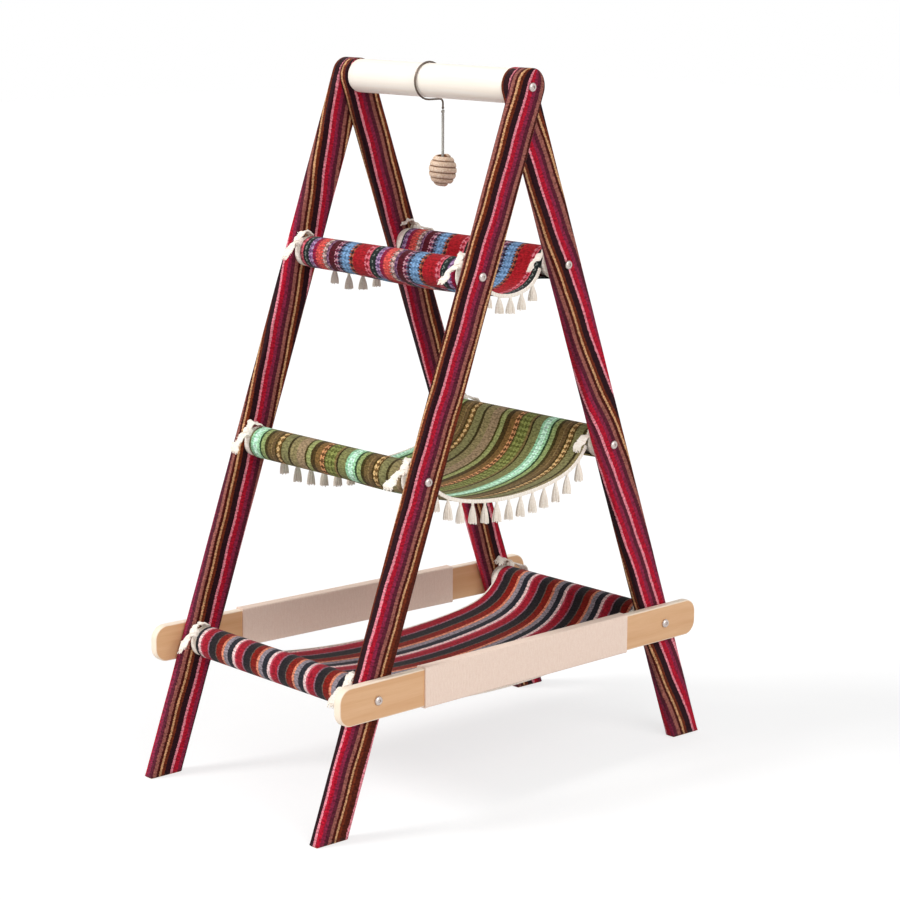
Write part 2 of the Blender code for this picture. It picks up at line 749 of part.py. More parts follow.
clear_scene()
PARTS = new_collection("a_frame_cat_tree")
CUTTERS = new_collection("cutters")
MATERIALS = {
    "birch": new_material("birch", (0.69, 0.42, 0.20), 0.5),
    "pale_wood": new_material("pale_wood", (0.85, 0.72, 0.55), 0.5),
    "striped_cloth": new_material("striped_cloth", (0.26, 0.03, 0.07), 0.9),
    "cream_cord": new_material("cream_cord", (0.83, 0.69, 0.56), 0.9),
    "cream_cotton": new_material("cream_cotton", (0.88, 0.82, 0.72), 0.9),
    "hammock_upper": new_material("hammock_upper", (0.45, 0.08, 0.12), 0.9),
    "hammock_middle": new_material("hammock_middle", (0.20, 0.25, 0.13), 0.9),
    "hammock_lower": new_material("hammock_lower", (0.38, 0.06, 0.08), 0.9),
    "plated_steel": new_material("plated_steel", (0.65, 0.60, 0.58), 0.3, 1.0),
    "dark_wire": new_material("dark_wire", (0.16, 0.13, 0.11), 0.4, 1.0),
    "grey_twine": new_material("grey_twine", (0.42, 0.40, 0.37), 0.9),
    "sisal_rope": new_material("sisal_rope", (0.62, 0.42, 0.25), 0.9),
    "dark_fibre": new_material("dark_fibre", (0.20, 0.12, 0.07), 0.9),
}
HOLES = make_bolt_holes()
make_legs()
make_bars()
make_side_boards()
for hammock_level in LEVELS:
    make_hammock(hammock_level)
for trim_side in SIDES:
    make_trim("upper", trim_side, UPPER_TASSEL_LENGTH)
    make_trim("middle", trim_side, MIDDLE_TASSEL_LENGTH)
    make_trim("lower", trim_side, 0)
make_ribbons()
make_bolts()
make_hook()
make_toy()
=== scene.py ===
"""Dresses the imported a-frame cat tree: striped cloth, cotton trim, wood, wire and cord.

X runs along the top bar and the dowels, Y from the front legs to the rear legs,
Z up from the floor. Lengths are in metres, and the sizes of the frame repeat the
part's own source.
"""

import math

import bmesh
import bpy
import numpy as np
from mathutils import Matrix, Vector


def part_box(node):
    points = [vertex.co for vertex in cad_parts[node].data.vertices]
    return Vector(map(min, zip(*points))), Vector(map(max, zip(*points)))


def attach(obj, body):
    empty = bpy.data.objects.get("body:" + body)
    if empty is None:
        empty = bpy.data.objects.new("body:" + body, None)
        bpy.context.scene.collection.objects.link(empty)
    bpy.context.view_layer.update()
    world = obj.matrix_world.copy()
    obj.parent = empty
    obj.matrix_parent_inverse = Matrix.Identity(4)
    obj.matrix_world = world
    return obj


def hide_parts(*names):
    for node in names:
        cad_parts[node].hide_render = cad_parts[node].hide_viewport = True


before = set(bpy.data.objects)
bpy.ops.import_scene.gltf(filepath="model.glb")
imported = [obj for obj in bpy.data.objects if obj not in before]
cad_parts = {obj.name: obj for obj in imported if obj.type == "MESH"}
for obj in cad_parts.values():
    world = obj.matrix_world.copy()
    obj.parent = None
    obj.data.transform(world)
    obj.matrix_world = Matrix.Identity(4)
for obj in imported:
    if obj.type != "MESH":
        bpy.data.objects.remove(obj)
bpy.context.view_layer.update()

bl_info = {
    "name": "A-Frame Cat Tree Finishes",
    "version": (1, 0, 0),
    "blender": (4, 5, 0),
    "location": "3D View > Sidebar > Cat Tree",
    "description": "Makes the cloth, trim, wood and cord of an a-frame cat tree",
    "category": "Object",
}

# Frame
PIVOT_HEIGHT = 0.926
FOOT_SPREAD = 0.662
FRAME_WIDTH = 0.370
LEAN = math.atan2(FOOT_SPREAD / 2, PIVOT_HEIGHT)
LEG_HALF_WIDTH = 0.0240
LEG_HALF_STACK = 0.0080
LEG_X = {"front": 0.1770, "rear": 0.1607}
INNER_FACE = {"front": 0.1690, "rear": 0.1527}
COVER_CORNER = 0.0024
COVER_FOOT_LIFT = 0.0012
TOP_BAR_DIAMETER = 0.045
DOWEL_DIAMETER = 0.036
ROD_EASE = 0.0012
GAP = 0.0003

# Side boards
SIDE_BOARD_HEIGHT = 0.050
SIDE_BOARD_LENGTH = 0.662
SIDE_BOARD_THICKNESS = 0.012
SIDE_BOARD_CORNER = 0.019
SIDE_BOARD_EASE = 0.0022
WRAP_LENGTH = 0.377
WRAP_CLOTH = 0.0016
WRAP_CORNER = 0.0024
WRAP_RIB = 0.0026
RIB_HEIGHT = 0.00016
END_RIB_HEIGHT = 0.00035
END_RIB_REACH = 0.0025

# Bolts
BOLT_HEAD_RADIUS = 0.006
BOLT_HEAD_HEIGHT = 0.0036
BOLT_SHANK_RADIUS = 0.003
BOLT_LENGTH = 0.030
BOLT_SOCKET_RADIUS = 0.0021
BOLT_SOCKET_DEPTH = 0.0018
BOLT_SOCKET_PIT = 0.0005
BOLT_EDGE = 0.0002
BOLT_CHAMFER = 0.0003

# Hammocks: dowel height, sag in the middle, sag at the edge, power of the end's bend
LEVELS = {
    "upper": (0.692, 0.040, 0.035, 6.5),
    "middle": (0.4405, 0.0635, 0.051, 8.0),
    "lower": (0.1775, 0.055, 0.045, 12.0),
}
POCKET_RADIUS = 0.020
LEAVE_ANGLE = math.radians(18)
BOWL_SHARE = 0.5
SEAM_RUN = 0.012
HEM_REACH = 0.006
HAMMOCK_END_SPACE = 0.0135

# Trim
TRIM_END_RUN = 0.005
TRIM_OUTSIDE = 0.0014
TRIM_STEP = 0.0008
BRAID_THICKNESS = 0.0020
BRAID_PLAIT = 0.0032
BRAID_SWELL = 0.16
PIPING_RADIUS = 0.0017
PIPING_LAY = 0.006
PIPING_OUTSIDE = 0.0006
TASSEL_SPACING = 0.0225
TASSEL_END_SPACE = 0.010
TASSEL_STRANDS = 16
STRAND_RADIUS = 0.00085
STRAND_ROOT = 0.0013
NECK_RADIUS = 0.0017
BINDING_RADIUS = 0.0006

# Ribbons
RIBBON_KNOT_ANGLES = {"front": 140.0, "rear": 62.0}
# The right rear ribbons are tied further to the front
RIBBON_TURN = {("rear", "right"): 76.0}
RIBBON_TAIL_ANGLE = 61.0
RIBBON_TAIL_FALL = 1.1
RIBBON_TAIL_REACH = 0.0172
RIBBON_KNOT_STAND = 0.0044
# How far each turn swings along X from the middle of its ribbon
TURN_SWINGS = (0.0010, -0.0011)
# Loops of the knot: skew in radians, half its width and height, width of the tape
KNOT_LOOPS = ((0.0, 0.0062, 0.0054, 0.0096), (0.7, 0.0064, 0.0060, 0.0074),
              (-0.6, 0.0058, 0.0066, 0.0084))
KNOT_CORE = (0.0058, 0.0056, 0.0048)
# Thickness of the tape, which is bunched in the knot and in the tails
TURN_TAPE = 0.0009
KNOT_TAPE = 0.0011
TAIL_TAPE = 0.0016
TAIL_INWARD = 0.0030
TAIL_PLEAT = 0.0034
END_THREADS = 15
END_THREAD_RADIUS = 0.00050
EDGE_THREADS = 22
EDGE_THREAD_RADIUS = 0.00042

# Toy
TOY_X = -0.0115
TOY_Y = 0.0247
KNOT_Z = 0.88387
TWINE_TOP = 0.88097
TWINE_END = 0.82297
TWINE_LAY = 0.0085
CORD_GROOVE = 0.22
BALL_CENTRE = (TOY_X, TOY_Y, 0.80655)
BALL_WIDTH = 0.0376
BALL_HEIGHT = 0.0455
ROPE_DIAMETER = 0.0063
ROPE_LAY = 0.0090
ROPE_GROOVE = 0.06
ROPE_STRETCH = 1.26
ROPE_SQUARE = 0.72
ROPE_LOOPS = 6
ROPE_LOOP_STEPS = 56

ENDS = {"front": -1, "rear": 1}
SIDES = {"left": -1, "right": 1}
X_AXIS = np.array([1.0, 0.0, 0.0])
Z_AXIS = np.array([0.0, 0.0, 1.0])

# The bands of each cloth, in order: width in mm, colour, then, where it has them, the
# second colour of its dashes or teeth, and 1 where its edge runs in teeth
LEG_BANDS = [
    (3.8, "#DC8490"), (7.2, "#AC142C"), (5.6, "#842440"), (6.4, "#561C2C"), (5.6, "#92584E"),
    (4.2, "#44100A"), (3.4, "#C4946A"), (5.2, "#682812"), (9.1, "#280C14"),
]
# The cloth of the right legs changes along its width: behind the front leg's gold
# line it is rust brown, and the red group comes twice on the rear leg
RUST_BANDS = LEG_BANDS[:-1] + [(9.1, "#4C1A0E")] + LEG_BANDS
SPLICED_BANDS = LEG_BANDS * 3 + LEG_BANDS[:4]
UPPER_BANDS = [
    (2.0, "#C85866"), (3.0, "#1C2422"), (4.0, "#242C2A", "#7C827C", 1), (5.0, "#1C2424"),
    (9.0, "#6A4870", "#A888AC", 1), (6.0, "#8A1838"), (14.0, "#D6524A", "#C04842", 1),
    (9.0, "#786058", "#CEAEA8", 1), (5.0, "#88607A", "#563654"), (11.0, "#4C0C1A"),
    (8.0, "#BE8C98", "#60203A", 1), (7.0, "#5A5C74", "#241E30", 1),
    (16.0, "#7A9EC4", "#587A9E", 1), (8.0, "#A05840", "#301C1C", 1), (23.0, "#9E1620"),
    (9.0, "#CC707C", "#981E2C", 1),
]
MIDDLE_BANDS = [
    (4.0, "#90C49C"), (10.0, "#CCEED8", "#ACDABC"), (4.0, "#9CCCA0"), (4.0, "#30442A"),
    (8.0, "#8C9C62"), (6.0, "#3E3412"), (8.0, "#685430"), (2.0, "#887248"), (6.0, "#665030"),
    (3.0, "#40320F"), (8.0, "#D0AE76", "#70522A"), (3.0, "#503C18"), (14.0, "#7C784E"),
    (5.0, "#382E12"), (14.0, "#887C54"), (16.0, "#968062"), (4.0, "#443A16"),
    (9.0, "#92985E"), (9.0, "#443414"), (10.0, "#785A30"), (8.0, "#CA9060", "#5E3E20"),
    (2.0, "#463016"), (21.0, "#848A4A", "#5C602C", 1), (3.0, "#7C683E"), (3.0, "#30260E"),
    (16.0, "#78784A"),
]
LOWER_BANDS = [
    (5.5, "#E4C4C2"), (3.0, "#B84858"), (12.5, "#9A182A"), (3.0, "#885C6A"),
    (14.0, "#241F22"), (2.0, "#5C4C44"), (12.0, "#7C1A10"), (4.5, "#D48466"),
    (8.5, "#8A8088"), (10.0, "#26262E"),
]
# Where each pattern starts, in metres along X
PATTERN_START = {"upper": -0.012, "middle": 0.048, "lower": 0.0}
MM_PER_METRE = 1000.0

# Weave. A tooth is one zigzag of a band's edge, its length in metres, and the gain is how
# far the edge moves sideways per length along it. Threads end within the ragged edge, in
# metres, and the tones are shares of the colour
TOOTH = 0.0040
TOOTH_GAIN = 2.4
RAGGED_EDGE = 0.0038
SLUB_TONE = 0.95
WEAVE_TONE = 0.08
FIBRE_TONE = 0.28


def linear(hex_colour):
    """The linear RGBA of an sRGB hex colour."""
    value = np.array([int(hex_colour[i:i + 2], 16) for i in (1, 3, 5)]) / 255
    curved = ((value + 0.055) / 1.055) ** 2.4
    return (*np.where(value <= 0.04045, value / 12.92, curved).tolist(), 1.0)


def size_property(name, description, default, low, high):
    return bpy.props.FloatProperty(
        name=name, description=description, default=default, min=low, max=high,
        unit="LENGTH")


def colour_property(name, description, hex_colour):
    return bpy.props.FloatVectorProperty(
        name=name, description=description, subtype="COLOR", size=4, min=0, max=1,
        default=linear(hex_colour))


class CatTreeSizes(bpy.types.PropertyGroup):
    cloth_thickness: size_property(
        "Hammock Cloth", "Thickness of the hammocks' cloth", 0.0024, 0.0005, 0.004)
    cover_thickness: size_property(
        "Cover Cloth", "Thickness of the cloth on the legs", 0.0012, 0.0005, 0.002)
    weave_pitch: size_property(
        "Weave Pitch", "Spacing of the cloth's ribs", 0.0015, 0.0005, 0.005)
    upper_tassel: size_property(
        "Upper Tassel", "Length of the upper hammock's tassels", 0.024, 0.01, 0.04)
    middle_tassel: size_property(
        "Middle Tassel", "Length of the middle hammock's tassels", 0.030, 0.01, 0.04)
    braid_width: size_property(
        "Braid Width", "Width of the flat braid along the hammocks", 0.0046, 0.002, 0.008)
    ribbon_width: size_property(
        "Ribbon Width", "Width of the cotton tape round the dowels", 0.0112, 0.004, 0.014)
    twine_diameter: size_property(
        "Twine Diameter", "Thickness of the toy's twine", 0.004, 0.001, 0.006)


class CatTreeColours(bpy.types.PropertyGroup):
    birch: colour_property("Birch", "Side boards and legs", "#DEB186")
    birch_grain: colour_property("Birch Grain", "Late wood of the boards", "#D2A072")
    pale_wood: colour_property("Pale Wood", "Top bar and dowels", "#FFF8EE")
    pale_grain: colour_property("Pale Grain", "Late wood of the bars", "#FBEFDF")
    wrap: colour_property("Side Wrap", "Ribbed cloth on the side boards", "#EFD9CA")
    cotton: colour_property("Cotton", "Braid, tassels and ribbons", "#FFF9F0")
    steel: colour_property("Steel", "Bolt heads", "#CFC4BF")
    wire: colour_property("Wire", "The hook's wire", "#6E5F55")
    twine: colour_property("Twine", "The toy's twine", "#CCCAC2")
    rope: colour_property("Rope", "The ball's rope", "#FBE8D4")
    rope_dark: colour_property("Rope Shadow", "Between the rope's strands", "#D2A680")


def sizes():
    return bpy.context.scene.cat_tree_sizes


def colours():
    return bpy.context.scene.cat_tree_colours


# Meshes from grids

def stack(*axes):
    """Arrays spread over one grid and joined along a new last axis."""
    return np.stack(np.broadcast_arrays(*axes), axis=-1)


def block(points, uv=None, close_start=False, close_end=False):
    """A grid of points, rows by columns, with its UV and which end rows are closed."""
    if uv is None:
        uv = np.zeros(points.shape[:2] + (2,))
    return points, uv, close_start, close_end


def make_piece(name, blocks, material, body, slot, *nodes):
    """One object of all blocks: each cell is a quad, and seams and poles are welded.

    It rides on its body, in place of the solids that it stands for.
    """
    all_points, all_uv, faces = [], [], []
    start = 0
    for points, uv, close_start, close_end in blocks:
        rows, columns = points.shape[:2]
        index = start + np.arange(rows * columns).reshape(rows, columns)
        quads = stack(index[:-1, :-1], index[:-1, 1:], index[1:, 1:], index[1:, :-1])
        faces.extend(quads.reshape(-1, 4).tolist())
        if close_start:
            faces.append(index[0, :-1].tolist())
        if close_end:
            faces.append(index[-1, :-1][::-1].tolist())
        all_points.append(points.reshape(-1, 3))
        all_uv.append(uv.reshape(-1, 2))
        start += rows * columns
    mesh = bpy.data.meshes.new(name)
    mesh.from_pydata(np.concatenate(all_points).tolist(), [], faces)
    corners = np.empty(len(mesh.loops), dtype=np.int32)
    mesh.loops.foreach_get("vertex_index", corners)
    layer = mesh.uv_layers.new(name="UVMap")
    layer.data.foreach_set("uv", np.concatenate(all_uv)[corners].ravel())
    shape = bmesh.new()
    shape.from_mesh(mesh)
    bmesh.ops.remove_doubles(shape, verts=shape.verts, dist=1e-6)
    bmesh.ops.recalc_face_normals(shape, faces=shape.faces)
    shape.to_mesh(mesh)
    shape.free()
    mesh.shade_smooth()
    mesh.set_sharp_from_angle(angle=math.radians(50))
    mesh.materials.append(material)
    obj = bpy.data.objects.new(name, mesh)
    bpy.context.scene.collection.objects.link(obj)
    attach(obj, body)
    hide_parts(*nodes)
    return obj


def paint(node, material):
    """Gives a solid that stays in view its finish."""
    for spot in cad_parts[node].material_slots:
        spot.material = material


def wall(obj, thickness, offset):
    """Gives a sheet its thickness: offset 0 is on both sides, -1 inwards."""
    modifier = obj.modifiers.new("Cloth", "SOLIDIFY")
    modifier.thickness = thickness
    modifier.offset = offset
    modifier.use_even_offset = True


def unit(vectors):
    return vectors / np.linalg.norm(vectors, axis=-1, keepdims=True)


def along(path):
    """Distance run along a path at each of its points."""
    steps = np.linalg.norm(np.diff(path, axis=0), axis=1)
    return np.concatenate([[0.0], np.cumsum(steps)])


def tangents(path, closed=False):
    """Direction of a path at each point; a closed path repeats its first point."""
    if closed:
        ring = path[:-1]
        turn = np.roll(ring, -1, axis=0) - np.roll(ring, 1, axis=0)
        return unit(np.concatenate([turn, turn[:1]]))
    return unit(np.gradient(path, axis=0))


def tube_grid(path, radius, reference, columns=12, strands=0, lay=0.01, groove=0.0,
              closed=False, stretch=1.0, square=1.0):
    """A cord along a path, round or stretched across the reference direction.

    Each row is a circle across the path, or a superellipse whose sine and cosine
    have the power of square. With strands, the radius dips between them: it is R
    times 1 - groove (1 - |cos(strands / 2 * angle)|), where the angle turns once
    round in every lay of length.
    """
    run = along(path)[:, None]
    direction = tangents(path, closed)
    side = unit(np.cross(direction, reference))
    other = np.cross(side, direction)
    angle = np.linspace(0, 2 * np.pi, columns + 1)
    spin = angle - 2 * np.pi * run / lay
    radius = radius * (1 - groove * (1 - np.abs(np.cos(strands / 2 * spin))))
    wide, deep = (np.sign(w) * np.abs(w) ** square for w in (np.cos(angle), np.sin(angle)))
    ring = stretch * wide[:, None] * side[:, None] + deep[:, None] * other[:, None]
    points = path[:, None] + radius[..., None] * ring
    return block(points, stack(spin / (2 * np.pi), run), not closed, not closed)


def rounded_loop(width, thickness, corner, corner_count, flat_count):
    """A closed rounded rectangle: its points, and the distance run round it.

    It starts at the right end of its lower side and runs left, up, right and down.
    Each flat side is cut into flat_count steps, and each corner into corner_count.
    """
    x, y = width / 2 - corner, thickness / 2 - corner
    centres = np.array([(-x, -y), (-x, y), (x, y), (x, -y)])
    angle = np.radians(np.array([[270], [180], [90], [0]])
                       - np.linspace(0, 90, corner_count + 1))
    arcs = centres[:, None] + corner * stack(np.cos(angle), np.sin(angle))
    start = np.array([[x, -thickness / 2]])
    loop = np.concatenate([start, arcs.reshape(-1, 2), start])
    step = np.diff(loop, axis=0)
    count = np.where(np.linalg.norm(step, axis=1) > 2 * corner, flat_count, 1)
    order = np.arange(count.sum()) - np.repeat(np.cumsum(count) - count, count)
    share = order / np.repeat(count, count)
    points = np.repeat(loop[:-1], count, axis=0) + np.repeat(step, count, axis=0) * share[:, None]
    loop = np.concatenate([points, start])
    return loop, along(loop)


def strap_grid(path, across, width, thickness, closed=False):
    """A flat band along a path, with eased edges: across is the direction of its width."""
    run = along(path)[:, None]
    normal = unit(np.cross(tangents(path, closed), across))
    edge, corner_steps, flat_steps = 0.18, 2, 3
    loop, _ = rounded_loop(1.0, 1.0, edge, corner_steps, flat_steps)
    place = np.broadcast_to(width, len(path))[:, None] * loop[:, 0]
    depth = (thickness * loop[:, 1])[:, None]
    points = path[:, None] + place[..., None] * across[:, None] + depth * normal[:, None]
    return block(points, stack(place, run), not closed, not closed)


def around_z(radius, angle, height):
    """Points at a radius and an angle about Z, at a height."""
    return stack(radius * np.cos(angle), radius * np.sin(angle), height)


def turned_grid(profile, columns, shape=None):
    """A profile of (radius, height) turned about Z; shape scales each row's radius."""
    angle = np.linspace(0, 2 * np.pi, columns + 1)
    radius, height = np.hsplit(np.asarray(profile), 2)
    if shape is not None:
        radius = radius * shape(angle)
    return around_z(radius, angle, height)


def circle(count):
    """Angles of a path round a circle, as a column; the last repeats the first."""
    return np.linspace(0, 2 * np.pi, count)[:, None]


# Materials

def feed(tree, item, inputs):
    """Feeds a node's inputs with values, sockets, or the first output of nodes."""
    for key, value in inputs.items():
        source = value.outputs[0] if isinstance(value, bpy.types.Node) else value
        if isinstance(source, bpy.types.NodeSocket):
            tree.links.new(source, item.inputs[key])
        else:
            item.inputs[key].default_value = source


def add(tree, kind, inputs=None, **settings):
    """Adds a node of a kind with its own settings, and feeds its inputs."""
    item = tree.nodes.new("ShaderNode" + kind)
    for key, value in settings.items():
        setattr(item, key, value)
    feed(tree, item, inputs or {})
    return item


def new_material(name, roughness, **inputs):
    """A material, its node tree and its shader; inputs name the shader's other values."""
    material = bpy.data.materials.new(name)
    material.use_nodes = True
    shader = material.node_tree.nodes["Principled BSDF"]
    values = {key.replace("_", " "): value for key, value in inputs.items()}
    feed(material.node_tree, shader, {"Roughness": roughness, **values})
    return material, material.node_tree, shader


def fill_ramp(ramp, bands, period, pick):
    """Gives a ramp one hard-edged stop for each band, with the colour that pick names."""
    ramp.color_ramp.interpolation = "CONSTANT"
    stops = ramp.color_ramp.elements
    position = 0.0
    for i, band in enumerate(bands):
        stop = stops[i] if i < 2 else stops.new(position / period)
        stop.position = position / period
        stop.color = pick(band)
        position += band[0]


def woven_stripes(name, bands):
    """Yarn-dyed cotton, woven in stripes: matt, with ribs that catch the light.

    The place in the pattern is the fraction of U over its period. Where a band
    has teeth, that place is first shifted by a triangle wave of V, so its edges
    run in teeth, and a band with a second colour shows it in dashes along V.
    """
    # The sheen is loose fibre, which catches light at the cloth's turned edges
    material, tree, shader = new_material(name, 0.92, Specular_IOR_Level=0.08,
                                          Sheen_Weight=0.08, Sheen_Roughness=0.45)
    period = sum(band[0] for band in bands)
    uv = add(tree, "UVMap", uv_map="UVMap")
    axes = add(tree, "SeparateXYZ", {0: uv})
    across, run = axes.outputs[0], axes.outputs[1]
    # Each weft thread ends a little before or after its neighbours, so edges are ragged
    weft = add(tree, "Mapping", {0: uv, 3: (130.0, 560.0, 1.0)})
    ragged = add(tree, "TexNoise", {"Vector": weft, "Scale": 1.0, "Detail": 2.0})
    sway = add(tree, "Math", {0: ragged, 1: 0.5}, operation="SUBTRACT")
    sway = add(tree, "Math", {0: sway, 1: RAGGED_EDGE, 2: across}, operation="MULTIPLY_ADD")
    place = add(tree, "Math", {0: sway, 1: MM_PER_METRE / period}, operation="MULTIPLY")
    place = add(tree, "Math", {0: place}, operation="FRACT")
    plain = add(tree, "ValToRGB")
    fill_ramp(plain, bands, period, lambda band: linear(band[1]))
    if any(len(band) > 2 for band in bands):
        teeth = add(tree, "ValToRGB", {0: place})
        fill_ramp(teeth, bands, period,
                  lambda band: (1.0, 1.0, 1.0, 1.0) if len(band) > 3 else (0.0, 0.0, 0.0, 1.0))
        wave = add(tree, "Math", {0: run, 1: TOOTH / 2}, operation="PINGPONG")
        wave = add(tree, "Math", {0: wave, 1: TOOTH / 4}, operation="SUBTRACT")
        shift = add(tree, "Math", {0: wave, 1: teeth}, operation="MULTIPLY")
        shifted = add(tree, "Math", {0: shift, 1: TOOTH_GAIN * MM_PER_METRE / period, 2: place},
                      operation="MULTIPLY_ADD")
        feed(tree, plain, {0: shifted})
        second = add(tree, "ValToRGB", {0: shifted})
        fill_ramp(second, bands, period, lambda band: linear((band[2:] or band[1:])[0]))
        # Small diamonds: dashes along V that narrow across U
        dash = add(tree, "Math", {0: run, 1: TOOTH}, operation="PINGPONG")
        rib = add(tree, "Math", {0: across, 1: TOOTH * 0.8}, operation="PINGPONG")
        both = add(tree, "Math", {0: dash, 1: rib}, operation="ADD")
        on = add(tree, "Math", {0: both, 1: TOOTH * 0.9}, operation="GREATER_THAN")
        mixed = add(tree, "Mix", {0: on, 6: plain, 7: second}, data_type="RGBA")
        colour = mixed.outputs[2]
    else:
        feed(tree, plain, {0: place})
        colour = plain.outputs[0]
    # Ribs of the weave, drawn coarser than the real 0.7 mm so that they show
    ribs = []
    for axis, share in ((across, 0.8), (run, 1.0)):
        pitch = sizes().weave_pitch * share
        turn = add(tree, "Math", {0: axis, 1: 2 * math.pi / pitch}, operation="MULTIPLY")
        ribs.append(add(tree, "Math", {0: turn}, operation="SINE"))
    weave = add(tree, "Math", {0: ribs[0], 1: ribs[1]}, operation="MULTIPLY")
    fibre = add(tree, "TexNoise", {"Vector": uv, "Scale": 900.0, "Detail": 3.0})
    # Slubs: yarn of uneven thickness and dye shows as short light and dark dashes
    yarn = add(tree, "Mapping", {0: uv, 1: (3.7, 1.9, 0.0), 3: (190.0, 420.0, 1.0)})
    slub = add(tree, "TexNoise", {"Vector": yarn, "Scale": 1.0, "Detail": 3.0,
                                  "Roughness": 0.65})
    uneven = add(tree, "MapRange", {0: slub, 1: 0.36, 2: 0.64, 3: 1.0 - SLUB_TONE / 2,
                                    4: 1.0 + SLUB_TONE / 2})
    tone = add(tree, "Math", {0: weave, 1: WEAVE_TONE, 2: uneven}, operation="MULTIPLY_ADD")
    tone = add(tree, "Math", {0: fibre, 1: FIBRE_TONE, 2: tone}, operation="MULTIPLY_ADD")
    tone = add(tree, "Math", {0: tone, 1: FIBRE_TONE / 2}, operation="SUBTRACT")
    shaded = add(tree, "Mix", {0: 1.0, 6: colour, 7: tone}, data_type="RGBA",
                 blend_type="MULTIPLY")
    relief = add(tree, "Math", {0: fibre, 1: 0.8, 2: weave}, operation="MULTIPLY_ADD")
    bump = add(tree, "Bump", {"Height": relief, "Strength": 0.35, "Distance": 0.0004})
    feed(tree, shader, {"Base Color": shaded.outputs[2], "Normal": bump})
    return material


def spun_yarn(name, colour, shadow, roughness=0.9, scale=1.0, depth=0.0003):
    """Spun fibre: matt, with fine streaks along the strand and a soft uneven tone."""
    material, tree, shader = new_material(name, roughness, Specular_IOR_Level=0.2)
    uv = add(tree, "UVMap", uv_map="UVMap")
    stretch = add(tree, "Mapping", {0: uv, 3: (14.0 * scale, 420.0, 1.0)})
    streak = add(tree, "TexNoise", {"Vector": stretch, "Scale": 1.0, "Detail": 4.0})
    place = add(tree, "TexCoord")
    cloud = add(tree, "TexNoise", {"Vector": place.outputs["Object"], "Scale": 700.0,
                                   "Detail": 3.0})
    blend = add(tree, "Math", {0: streak, 1: cloud}, operation="MULTIPLY")
    factor = add(tree, "MapRange", {0: blend, 1: 0.12, 2: 0.34, 3: 0.0, 4: 1.0})
    tint = add(tree, "Mix", {0: factor, 6: shadow, 7: colour}, data_type="RGBA")
    bump = add(tree, "Bump", {"Height": streak, "Strength": 0.5, "Distance": depth})
    feed(tree, shader, {"Base Color": tint.outputs[2], "Normal": bump})
    return material


def sanded_wood(name, colour, grain, axis, edge=None):
    """Sanded wood with a thin clear finish: long streaks of grain along one axis.

    An edge colour shows where U is 1: a painted highlight that makes the cut and eased edges paler
    than the faces.
    """
    material, tree, shader = new_material(name, 0.48)
    place = add(tree, "TexCoord").outputs["Object"]
    rings_scale, pores_scale = [85.0, 85.0, 85.0], [900.0, 900.0, 900.0]
    rings_scale[axis], pores_scale[axis] = 3.2, 26.0
    stretch = add(tree, "Mapping", {0: place, 3: tuple(rings_scale)})
    rings = add(tree, "TexNoise", {"Vector": stretch, "Scale": 1.0, "Detail": 5.0,
                                   "Distortion": 0.6})
    comb = add(tree, "Mapping", {0: place, 3: tuple(pores_scale)})
    pores = add(tree, "TexNoise", {"Vector": comb, "Scale": 1.0, "Detail": 2.0})
    blend = add(tree, "Math", {0: pores, 1: 0.35, 2: rings}, operation="MULTIPLY_ADD")
    factor = add(tree, "MapRange", {0: blend, 1: 0.45, 2: 0.90, 3: 0.0, 4: 1.0})
    tint = add(tree, "Mix", {0: factor, 6: colour, 7: grain}, data_type="RGBA")
    # The edge colour is a painted highlight, mixed in by U
    if edge:
        uv = add(tree, "UVMap", uv_map="UVMap")
        share = add(tree, "SeparateXYZ", {0: uv})
        tint = add(tree, "Mix", {0: share, 6: tint.outputs[2], 7: edge}, data_type="RGBA")
    bump = add(tree, "Bump", {"Height": blend, "Strength": 0.12, "Distance": 0.0003})
    feed(tree, shader, {"Base Color": tint.outputs[2], "Normal": bump})
    return material


def drawn_metal(name, colour, roughness, streaks):
    """Bare or plated metal: a clear highlight, broken by fine marks of its making."""
    material, tree, shader = new_material(name, roughness, Metallic=1.0)
    place = add(tree, "TexCoord")
    marks = add(tree, "TexNoise", {"Vector": place.outputs["Object"], "Scale": streaks,
                                   "Detail": 3.0})
    rough = add(tree, "MapRange", {0: marks, 1: 0.3, 2: 0.7, 3: roughness * 0.8,
                                   4: roughness * 1.3})
    faded = add(tree, "MapRange", {0: marks, 1: 0.35, 2: 0.9, 3: 0.0, 4: 0.35})
    tint = add(tree, "Mix", {0: faded, 6: colour, 7: (0.2, 0.19, 0.18, 1)}, data_type="RGBA")
    feed(tree, shader, {"Base Color": tint.outputs[2], "Roughness": rough})
    return material


# Shapes shared by the pieces

def leg_y(height):
    """Distance of a leg's centreline from the middle plane, at a height."""
    return FOOT_SPREAD / 2 * (1 - height / PIVOT_HEIGHT)


def bed_end(level):
    """Y at which a hammock's bed leaves its rear dowel."""
    return leg_y(LEVELS[level][0]) - POCKET_RADIUS * math.cos(LEAVE_ANGLE)


def bed_height(level, y, across):
    """Height of the bed: a shallow bowl, and a sharper bend up to each dowel."""
    height, sag, edge_sag, bend_power = LEVELS[level]
    low = height - edge_sag - (sag - edge_sag) * (1 - across ** 2)
    leave = height + POCKET_RADIUS * math.sin(LEAVE_ANGLE)
    out = np.abs(y / bed_end(level))
    rise = BOWL_SHARE * out ** 2 + (1 - BOWL_SHARE) * out ** bend_power
    return low + (leave - low) * rise


def half_width(level, y):
    """Half the hammock's width at Y: it narrows to the rear with the gap of the legs."""
    front = INNER_FACE["front"] - HAMMOCK_END_SPACE
    rear = INNER_FACE["rear"] - HAMMOCK_END_SPACE
    share = np.clip((y + bed_end(level)) / (2 * bed_end(level)), 0, 1)
    return front + (rear - front) * share


